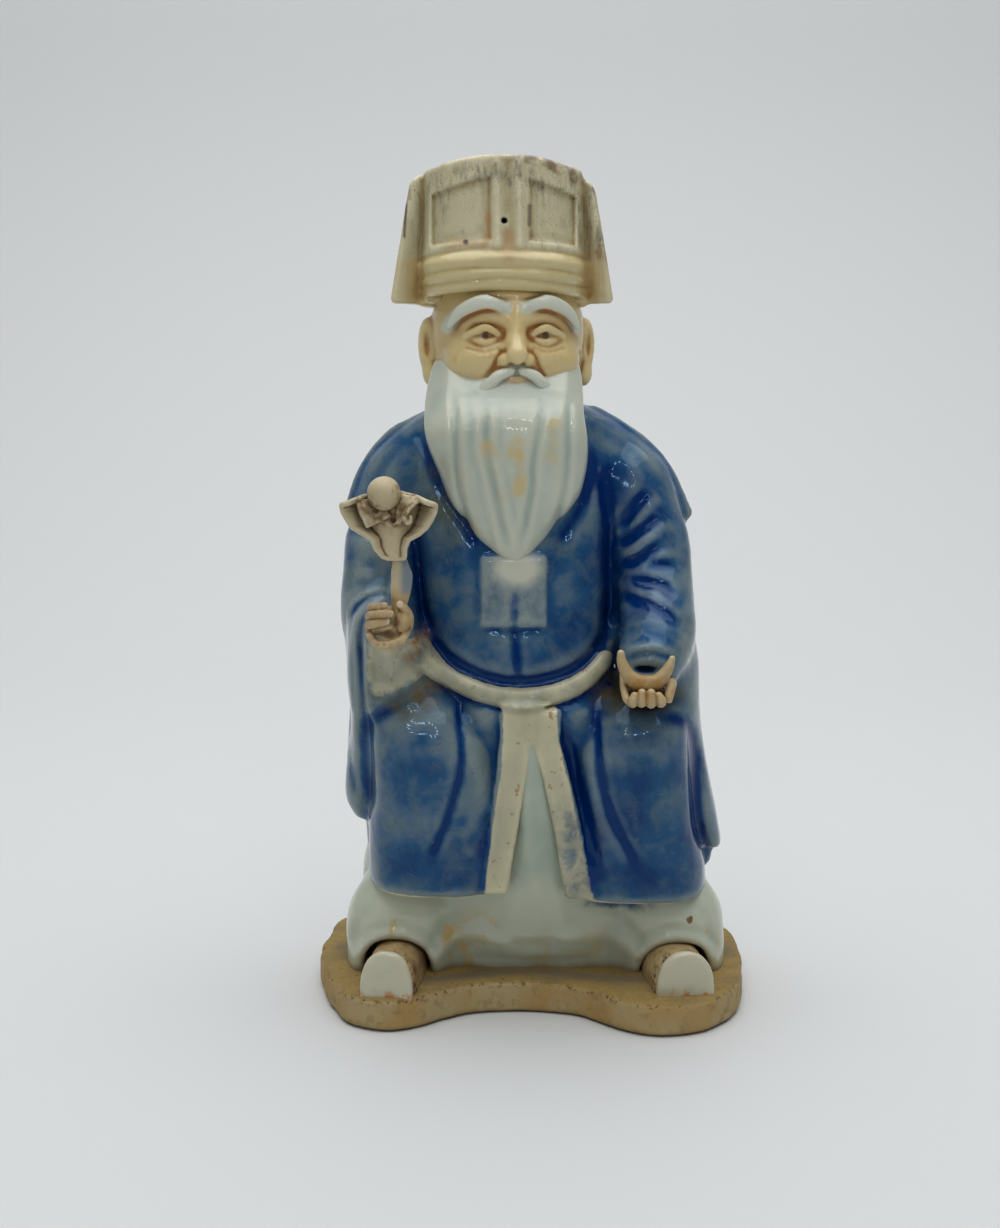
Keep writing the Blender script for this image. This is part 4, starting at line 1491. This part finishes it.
def shrunk(line):
    """Places of the fist, drawn in towards its middle."""
    return [tuple(FIST_MIDDLE[i] + FIST_SIZE * (point[i] - FIST_MIDDLE[i]) for i in range(3))
            for point in line]


fist = Clay((-62, -56, 116), (-25, -16, 176), FIST_STEP)
fist.add(rod([(-43.6, -24.0, 126.0), (-43.4, -34.0, 127.0), (-43.4, -39.0, 127.6)], [5.4, 5.0, 5.0]), 1.0)
fist.add(ball((-43.4, -40.6, 127.8), (5.8, 4.8, 5.4), (12, 0, 0)), 1.0)
fist.add(ball((-38.9, -43.2, 129.3), (2.5, 3.6, 4.2), (0, 8, 0)), 0.4)
fist.add(rod([(-49.6, -42.0, 126.6), (-48.8, -44.6, 124.0), (-46.4, -46.2, 122.3), (-42.8, -46.4, 122.1),
              (-39.6, -45.4, 123.1), (-37.8, -43.6, 125.6)],
             [1.0, 1.25, 1.4, 1.4, 1.3, 1.1]), 0.6)
fist.cut(ball((-44.4, -47.0, 124.8), (3.4, 3.0, 1.5), (0, -8, 0)), 0.7)
fist.add(rod(shrunk([(-37.2, -42.0, 126.0), (-36.8, -44.6, 129.8), (-38.0, -46.2, 132.8),
                     (-39.6, -47.0, 134.6)]), [1.9, 1.7, 1.45, 1.2]), 0.4)
FINGERS = [
    ([(-50.2, -36.0, 130.4), (-50.4, -41.0, 132.4), (-48.6, -45.4, 133.4), (-45.3, -47.6, 134.3)],
     [1.7, 1.75, 1.6, 1.3]),
    ([(-51.0, -36.0, 127.4), (-51.2, -41.6, 129.4), (-49.0, -47.0, 130.6), (-45.4, -49.2, 131.3),
      (-42.0, -49.0, 131.4)], [1.8, 1.85, 1.75, 1.5, 1.25]),
    ([(-51.2, -36.0, 124.6), (-51.4, -41.6, 126.0), (-49.6, -47.2, 127.3), (-46.8, -49.0, 128.0),
      (-44.0, -48.8, 128.4)], [1.8, 1.85, 1.75, 1.5, 1.25]),
    ([(-50.6, -38.0, 122.8), (-50.2, -42.6, 123.8), (-47.2, -46.6, 125.6), (-43.4, -46.4, 126.4)],
     [1.6, 1.6, 1.5, 1.3]),
]
for line, radii in FINGERS:
    fist.add(rod(shrunk(line), [FIST_SIZE * radius for radius in radii]), 0.3)
for tip in shrunk([(-41.5, -50.3, 131.6), (-43.4, -50.1, 128.6), (-39.6, -48.6, 134.7)]):
    fist.cut(ball(tip, (1.0, 0.4, 0.65)), 0.25)
FIST_CREASES = [
    ([(-42.2, -47.6, 128.0), (-41.5, -47.6, 130.6), (-41.3, -47.0, 132.6)], 0.85),
    ([(-42.2, -47.0, 125.9), (-40.4, -47.0, 125.2), (-38.2, -46.0, 125.3), (-36.6, -44.0, 126.4)], 0.45),
    ([(-45.2, -47.4, 124.6), (-44.6, -47.8, 122.0)], 0.35),
    ([(-50.2, -43.8, 125.6), (-47.8, -46.6, 126.1), (-45.0, -47.4, 126.3)], 0.4),
]
for crease, wide in FIST_CREASES:
    fist.cut(rod(crease, [wide] * len(crease)), 0.4)


def stem(s, t):
    """A flat ribbon, pinched narrow inside the fist and bent back a little towards the robe."""
    half = 1.3 + 1.2 * min(1.0, max(0.0, (s - 0.2) / 0.35)) - 1.0 * max(0.0, (s - 0.8) / 0.2)
    across = -40.6 + 1.7 * s - 1.0 * max(0.0, (s - 0.75) / 0.25) + half * (2.0 * t - 1.0)
    return (across, -43.4 + 1.4 * s - 0.6 * math.sin(math.pi * t), 128.0 + 19.2 * s, 1.0 - 0.25
            * abs(2.0 * t - 1.0))


fist.add(leaf(stem, 76, 24), 0.5)
fist.add(rod([(-43.5, -24.0, 156.5), (-43.2, -34.0, 155.0), (-42.6, -40.0, 152.5)], [2.6, 2.4, 2.2]), 1.0)
fist.add(rod([(-44.5, -24.0, 164.5), (-44.0, -34.0, 164.0), (-43.8, -40.0, 163.5)], [4.0, 3.0, 2.6]), 1.0)
fist.add(leaf(tongue, 56, 150), 0.5)
for rim, throat in INNER_LIPS:
    fist.add(leaf(inner_lip(rim, throat), 34, 41), 0.4)
fist.add(rod([(-38.2, -47.2, 160.4), (-37.4, -47.6, 159.2), (-36.4, -47.4, 159.6), (-36.4, -47.2, 161.0)],
             [0.85, 0.8, 0.7, 0.6]), 0.3)
fist.add(ball((-44.5, -44.6, 167.8), (5.1, 5.0, 5.2)), 0.4)
fist.cut(rod([(-49.2, -48.4, 164.0), (-46.8, -44.6, 162.6)], [0.75, 0.8]), 0.3)
fist.cut(rod([(-42.0, -48.0, 160.6), (-41.8, -43.6, 159.6)], [0.8, 0.9]), 0.3)
fist.value += 0.05 * ripple(*fist.whole(), 5.0, 61)
fist_points, fist_faces = fist.skin(rounds=1)


def fist_material():
    """Buff biscuit, warmer on the fingers, iron brown in the creases, pale nails and a blue-washed stem."""
    material, tree, shader, place = made_material("buff_biscuit")
    clay = joined(tree, "ShaderNodeGroup", node_tree=bare_clay)
    clay.inputs["Clay"].default_value = seen(196, 184, 150)
    clay.inputs["Dirt"].default_value = seen(170, 150, 112)
    clay.inputs["Dirt Share"].default_value = 0.5
    clay.inputs["Speck Share"].default_value = 0.1
    clay.inputs["Grain"].default_value = 0.06
    colour = clay.outputs["Color"]
    warm = blended(tree, stretched(tree, sampled(tree, place, 3.0, 3.0), 0.4, 0.62), seen(188, 160, 106),
                   seen(156, 116, 66))
    colour = blended(tree, times(tree, kept_mark(tree, "hand"), 0.75), colour, warm)
    crease = stretched(tree, kept_mark(tree, "fine_hollow"), 0.0, 0.16, 0.0, 0.95)
    colour = blended(tree, crease, colour, seen(92, 58, 26))
    pale = stretched(tree, kept_mark(tree, "fine_hollow"), -0.25, -0.06, 0.5, 0.0)
    colour = blended(tree, pale, colour, seen(226, 218, 192))
    colour = blended(tree, kept_mark(tree, "nail"), colour, seen(238, 224, 196))
    colour = blended(tree, kept_mark(tree, "blue"), colour, seen(116, 132, 142))
    colour = blended(tree, kept_mark(tree, "pocket"), colour, seen(52, 34, 18))
    umber = times(tree, kept_mark(tree, "umber"),
                  stretched(tree, sampled(tree, place, 2.2, 4.0, 0.6), 0.42, 0.6))
    colour = blended(tree, umber, colour, seen(116, 88, 50))
    tree.links.new(colour, shader.inputs["Base Color"])
    tree.links.new(stretched(tree, kept_mark(tree, "blue"), 0.0, 0.8, 0.5, 0.12), shader.inputs["Roughness"])
    shader.inputs["Specular IOR Level"].default_value = 0.35
    bump = joined(tree, "ShaderNodeBump", {"Strength": 0.15, "Distance": 0.0002,
        "Height": clay.outputs["Height"]})
    tree.links.new(bump.outputs[0], shader.inputs["Normal"])
    return material


across, deep, up = fist_points.T
NAILS = shrunk([(-41.4, -49.9, 131.6), (-43.3, -49.7, 128.6), (-39.7, -48.2, 134.6)])
fist_marks = {
    "fine_hollow": hollowness(fist_points, fist_faces, 8),
    "hand": 1.0 - ease(up, 135.5, 140.0),
    "nail": np.clip(sum(1.0 - ease(np.sqrt((across - a) ** 2 + 0.4 * (deep - b) ** 2 + (up - c) ** 2), 0.6,
        1.1) for a, b, c in NAILS), 0.0, 0.5),
    "blue": ease(across, -41.0, -38.2) * ease(up, 135.0, 139.5) * fall(up, 147.0, 148.0)
    * fall(deep, -40.0, -38.0) * 0.9,
    "pocket": np.clip(sum(1.0 - ease(np.sqrt((across - a) ** 2 + 0.3 * (deep - b) ** 2 + (up - c) ** 2), 0.7,
        2.2) for a, b, c in
                      ((-48.6, -45.0, 163.3), (-42.0, -43.0, 160.0), (-38.6, -43.6, 163.4),
                       (-46.4, -44.6, 125.2), (-43.4, -44.8, 124.8), (-41.6, -46.2, 129.0))), 0.0, 0.5),
    "umber": np.clip(fall(line_gap(across, up, [(-51, 166), (-48, 163), (-44, 160.4), (-40, 160),
        (-38.4, 164), (-37, 168)]), 1.0, 4.0) * ease(up, 156.0, 158.0)
                     + 0.7 * fall(np.hypot(across + 40.6, up - 169.4), 0.6, 2.0), 0.0, 0.85),
}
piece("fist_and_ruyi", fist_points, fist_faces, fist_material(), fist_marks)

# Hand and ingot.
# The open hand comes out of its cuff palm up, with a boat-shaped ingot resting across its four fingers. Bare
# biscuit again, browned where the kiln's ash and later dirt have settled round it.
PALM_STEP = 0.3


INGOT_RIM = [
    (27.2, -46.6, 119.3), (27.5, -46.8, 116.8), (28.9, -47.1, 113.6), (31.2, -47.5, 111.2),
    (34.6, -47.8, 110.2),
    (38.0, -47.5, 110.8), (40.4, -47.1, 112.9), (41.9, -46.8, 115.4), (42.8, -46.4, 117.7),
]
INGOT_THICK = [1.2, 1.6, 2.0, 2.35, 2.5, 2.35, 1.95, 1.5, 1.0]
palm = Clay((22, -57, 98), (53, -22, 124), PALM_STEP)
palm.add(rod([(37.0, -26.0, 109.5), (36.6, -34.0, 108.6), (35.8, -41.0, 107.4)], [6.0, 5.2, 3.4]), 1.0)
palm.add(ball((35.4, -41.6, 106.0), (6.8, 8.0, 2.2), (4, 0, 0)), 1.0)
for tip, top, radius, lean in ((30.7, 107.0, 1.5, 0.5), (33.3, 108.0, 1.5, 0.1), (36.2, 107.9, 1.65, -0.1),
        (39.2, 107.0, 1.55, -0.8)):
    line = [(tip + 0.3, -40.0, 105.4), (tip, -47.0, 105.0), (tip, -50.2, 104.7), (tip, -51.5, 105.6),
            (tip + lean, -51.1, top)]
    palm.add(rod(line, [radius, radius, radius, radius, radius * 0.84]), 0.2)
palm.add(rod([(28.6, -36.0, 111.4), (28.3, -42.0, 110.4), (28.2, -46.4, 108.4), (28.8, -49.2, 105.9),
              (29.9, -50.4, 105.0)], [1.1, 1.1, 1.1, 1.2, 1.25]), 0.4)
palm.add(rod([(43.2, -34.0, 109.0), (43.2, -40.6, 109.2), (42.5, -46.0, 108.9), (41.9, -48.4, 107.0),
              (41.7, -49.0, 105.6)], [1.6, 1.7, 1.6, 1.45, 1.25]), 0.4)
palm.add(ball((34.8, -44.6, 109.8), (6.0, 3.8, 2.5)), 0.8)
palm.add(rod(INGOT_RIM, INGOT_THICK, 24), 0.7)
palm.value += 0.05 * ripple(*palm.whole(), 5.0, 71)
palm_points, palm_faces = palm.skin(rounds=1)


def palm_material():
    """The same buff biscuit, amber inside the ingot and brown between the fingers."""
    material, tree, shader, place = made_material("browned_biscuit")
    clay = joined(tree, "ShaderNodeGroup", node_tree=bare_clay)
    clay.inputs["Clay"].default_value = seen(172, 150, 106)
    clay.inputs["Dirt"].default_value = seen(170, 142, 92)
    clay.inputs["Dirt Share"].default_value = 0.7
    clay.inputs["Speck Share"].default_value = 0.15
    clay.inputs["Grain"].default_value = 0.08
    amber = times(tree, kept_mark(tree, "amber"), stretched(tree, sampled(tree, place, 4.0, 3.0), 0.36, 0.6))
    colour = blended(tree, amber, clay.outputs["Color"], seen(158, 118, 56))
    crease = stretched(tree, kept_mark(tree, "fine_hollow"), 0.01, 0.2, 0.0, 0.95)
    colour = blended(tree, crease, colour, seen(80, 50, 24))
    colour = blended(tree, kept_mark(tree, "soot"), colour, seen(44, 34, 22))
    pale = stretched(tree, kept_mark(tree, "fine_hollow"), -0.22, -0.05, 0.5, 0.0)
    colour = blended(tree, pale, colour, seen(228, 214, 180))
    tree.links.new(colour, shader.inputs["Base Color"])
    shader.inputs["Roughness"].default_value = 0.42
    shader.inputs["Specular IOR Level"].default_value = 0.4
    bump = joined(tree, "ShaderNodeBump", {"Strength": 0.15, "Distance": 0.0002,
        "Height": clay.outputs["Height"]})
    tree.links.new(bump.outputs[0], shader.inputs["Normal"])
    return material


across, deep, up = palm_points.T
palm_marks = {
    "fine_hollow": hollowness(palm_points, palm_faces, 8),
    "amber": np.clip(fall(np.hypot((across - 35.0) / 8.0, (up - 109.6) / 4.4), 0.5, 1.2)
                     + ease(across, 41.0, 42.2) * fall(up, 108.0, 110.0) * 0.8, 0.0, 1.0),
    "soot": np.clip(fall(up, 101.8, 102.8) * ease(deep, -50.0, -47.0) + 0.9 * fall(up, 106.5, 108.5)
                    * ease(deep, -49.0, -46.0), 0.0, 0.9),
}
piece("palm_and_ingot", palm_points, palm_faces, palm_material(), palm_marks)

# Studio.
# A pale grey paper floor that sweeps up behind the figure, a broad soft light overhead, a wash on the wall,
# and a ring of small lights that leaves oval glints on the glaze. Sizes and places here are in metres.
FLOOR_HALF = 2.2
SWEEP_START = 0.55
SWEEP_RADIUS = 0.5
WALL_TOP = 2.4
FLOOR_GAP = 0.0002


def floor_mesh():
    """One sheet: the floor, a quarter round, and the wall behind."""
    profile = [(-FLOOR_HALF, 0.0), (SWEEP_START, 0.0)]
    for turn in np.linspace(0.0, math.pi / 2, 17)[1:]:
        profile.append((SWEEP_START + SWEEP_RADIUS * math.sin(turn), SWEEP_RADIUS * (1.0 - math.cos(turn))))
    profile.append((SWEEP_START + SWEEP_RADIUS, WALL_TOP))
    points = [(side * FLOOR_HALF, deep, up - FLOOR_GAP) for deep, up in profile for side in (-1.0, 1.0)]
    faces = [(2 * i, 2 * i + 1, 2 * i + 3, 2 * i + 2) for i in range(len(profile) - 1)]
    mesh = bpy.data.meshes.new("studio_floor")
    mesh.from_pydata(points, [], faces)
    for polygon in mesh.polygons:
        polygon.use_smooth = True
    return mesh


floor = bpy.data.objects.new("studio_floor", floor_mesh())
bpy.context.scene.collection.objects.link(floor)
floor_material, _, floor_shader, _ = made_material("pale_grey_paper")
floor_shader.inputs["Base Color"].default_value = seen(214, 216, 216)
floor_shader.inputs["Roughness"].default_value = 0.6
floor_shader.inputs["Specular IOR Level"].default_value = 0.2
floor.data.materials.append(floor_material)


def area_light(name, place, target, size, power):
    """A round soft light turned to its target."""
    data = bpy.data.lights.new(name, "AREA")
    data.shape = "DISK"
    data.size = size
    data.energy = power
    light = bpy.data.objects.new(name, data)
    light.location = place
    light.rotation_euler = (Vector(target) - Vector(place)).to_track_quat("-Z", "Y").to_euler()
    light.visible_camera = False
    bpy.context.scene.collection.objects.link(light)


CEILING_LIGHT_PLACE = (0.0, 0.0, 1.6)
CEILING_LIGHT_AIM = (0.0, 0.02, 0.0)
CEILING_LIGHT_SIZE = 2.2
CEILING_LIGHT_WATTS = 23.0
WALL_LIGHT_PLACE = (0.0, 0.25, 1.3)
WALL_LIGHT_AIM = (0.0, 1.05, 0.5)
WALL_LIGHT_SIZE = 1.2
WALL_LIGHT_WATTS = 3.2
area_light("ceiling_softbox", CEILING_LIGHT_PLACE, CEILING_LIGHT_AIM, CEILING_LIGHT_SIZE, CEILING_LIGHT_WATTS)
area_light("wall_wash", WALL_LIGHT_PLACE, WALL_LIGHT_AIM, WALL_LIGHT_SIZE, WALL_LIGHT_WATTS)
CHEST = (0.0, 0.0, 0.14)
RING_CENTRE = Vector((-0.02, -0.66, 0.62))
RING_RADIUS = 0.2
RING_LEAN = (1.0, 0.6, 0.8)
RING_LAMPS = 12
RING_LAMP_SIZE = 0.036
RING_LAMP_WATTS = 0.075
for index in range(RING_LAMPS):
    turn = 2.0 * math.pi * index / RING_LAMPS
    round_ring = (math.cos(turn), math.sin(turn), math.sin(turn))
    offset = Vector([lean * RING_RADIUS * part for lean, part in zip(RING_LEAN, round_ring)])
    area_light(f"ring_lamp_{index}", RING_CENTRE + offset, CHEST, RING_LAMP_SIZE, RING_LAMP_WATTS)
ROOM_LIGHT_COLOUR = (0.93, 0.95, 1.0, 1.0)
ROOM_LIGHT_STRENGTH = 0.2
world = bpy.data.worlds.new("soft_room")
world.use_nodes = True
world.node_tree.nodes["Background"].inputs["Color"].default_value = ROOM_LIGHT_COLOUR
world.node_tree.nodes["Background"].inputs["Strength"].default_value = ROOM_LIGHT_STRENGTH
bpy.context.scene.world = world
bpy.context.scene.view_settings.view_transform = "Standard"

CAMERA_PLACE = (-0.0095, -0.604, 0.205)
CAMERA_LOOKS_DOWN = 7.52
CAMERA_LENS = 54.43
CAMERA_SENSOR = 36.0
camera_data = bpy.data.cameras.new("camera")
camera_data.sensor_fit = "AUTO"
camera_data.sensor_width = CAMERA_SENSOR
camera_data.lens = CAMERA_LENS
camera = bpy.data.objects.new("camera", camera_data)
camera.location = CAMERA_PLACE
camera.rotation_euler = (math.radians(90.0 - CAMERA_LOOKS_DOWN), 0.0, 0.0)
bpy.context.scene.collection.objects.link(camera)
bpy.context.scene.camera = camera
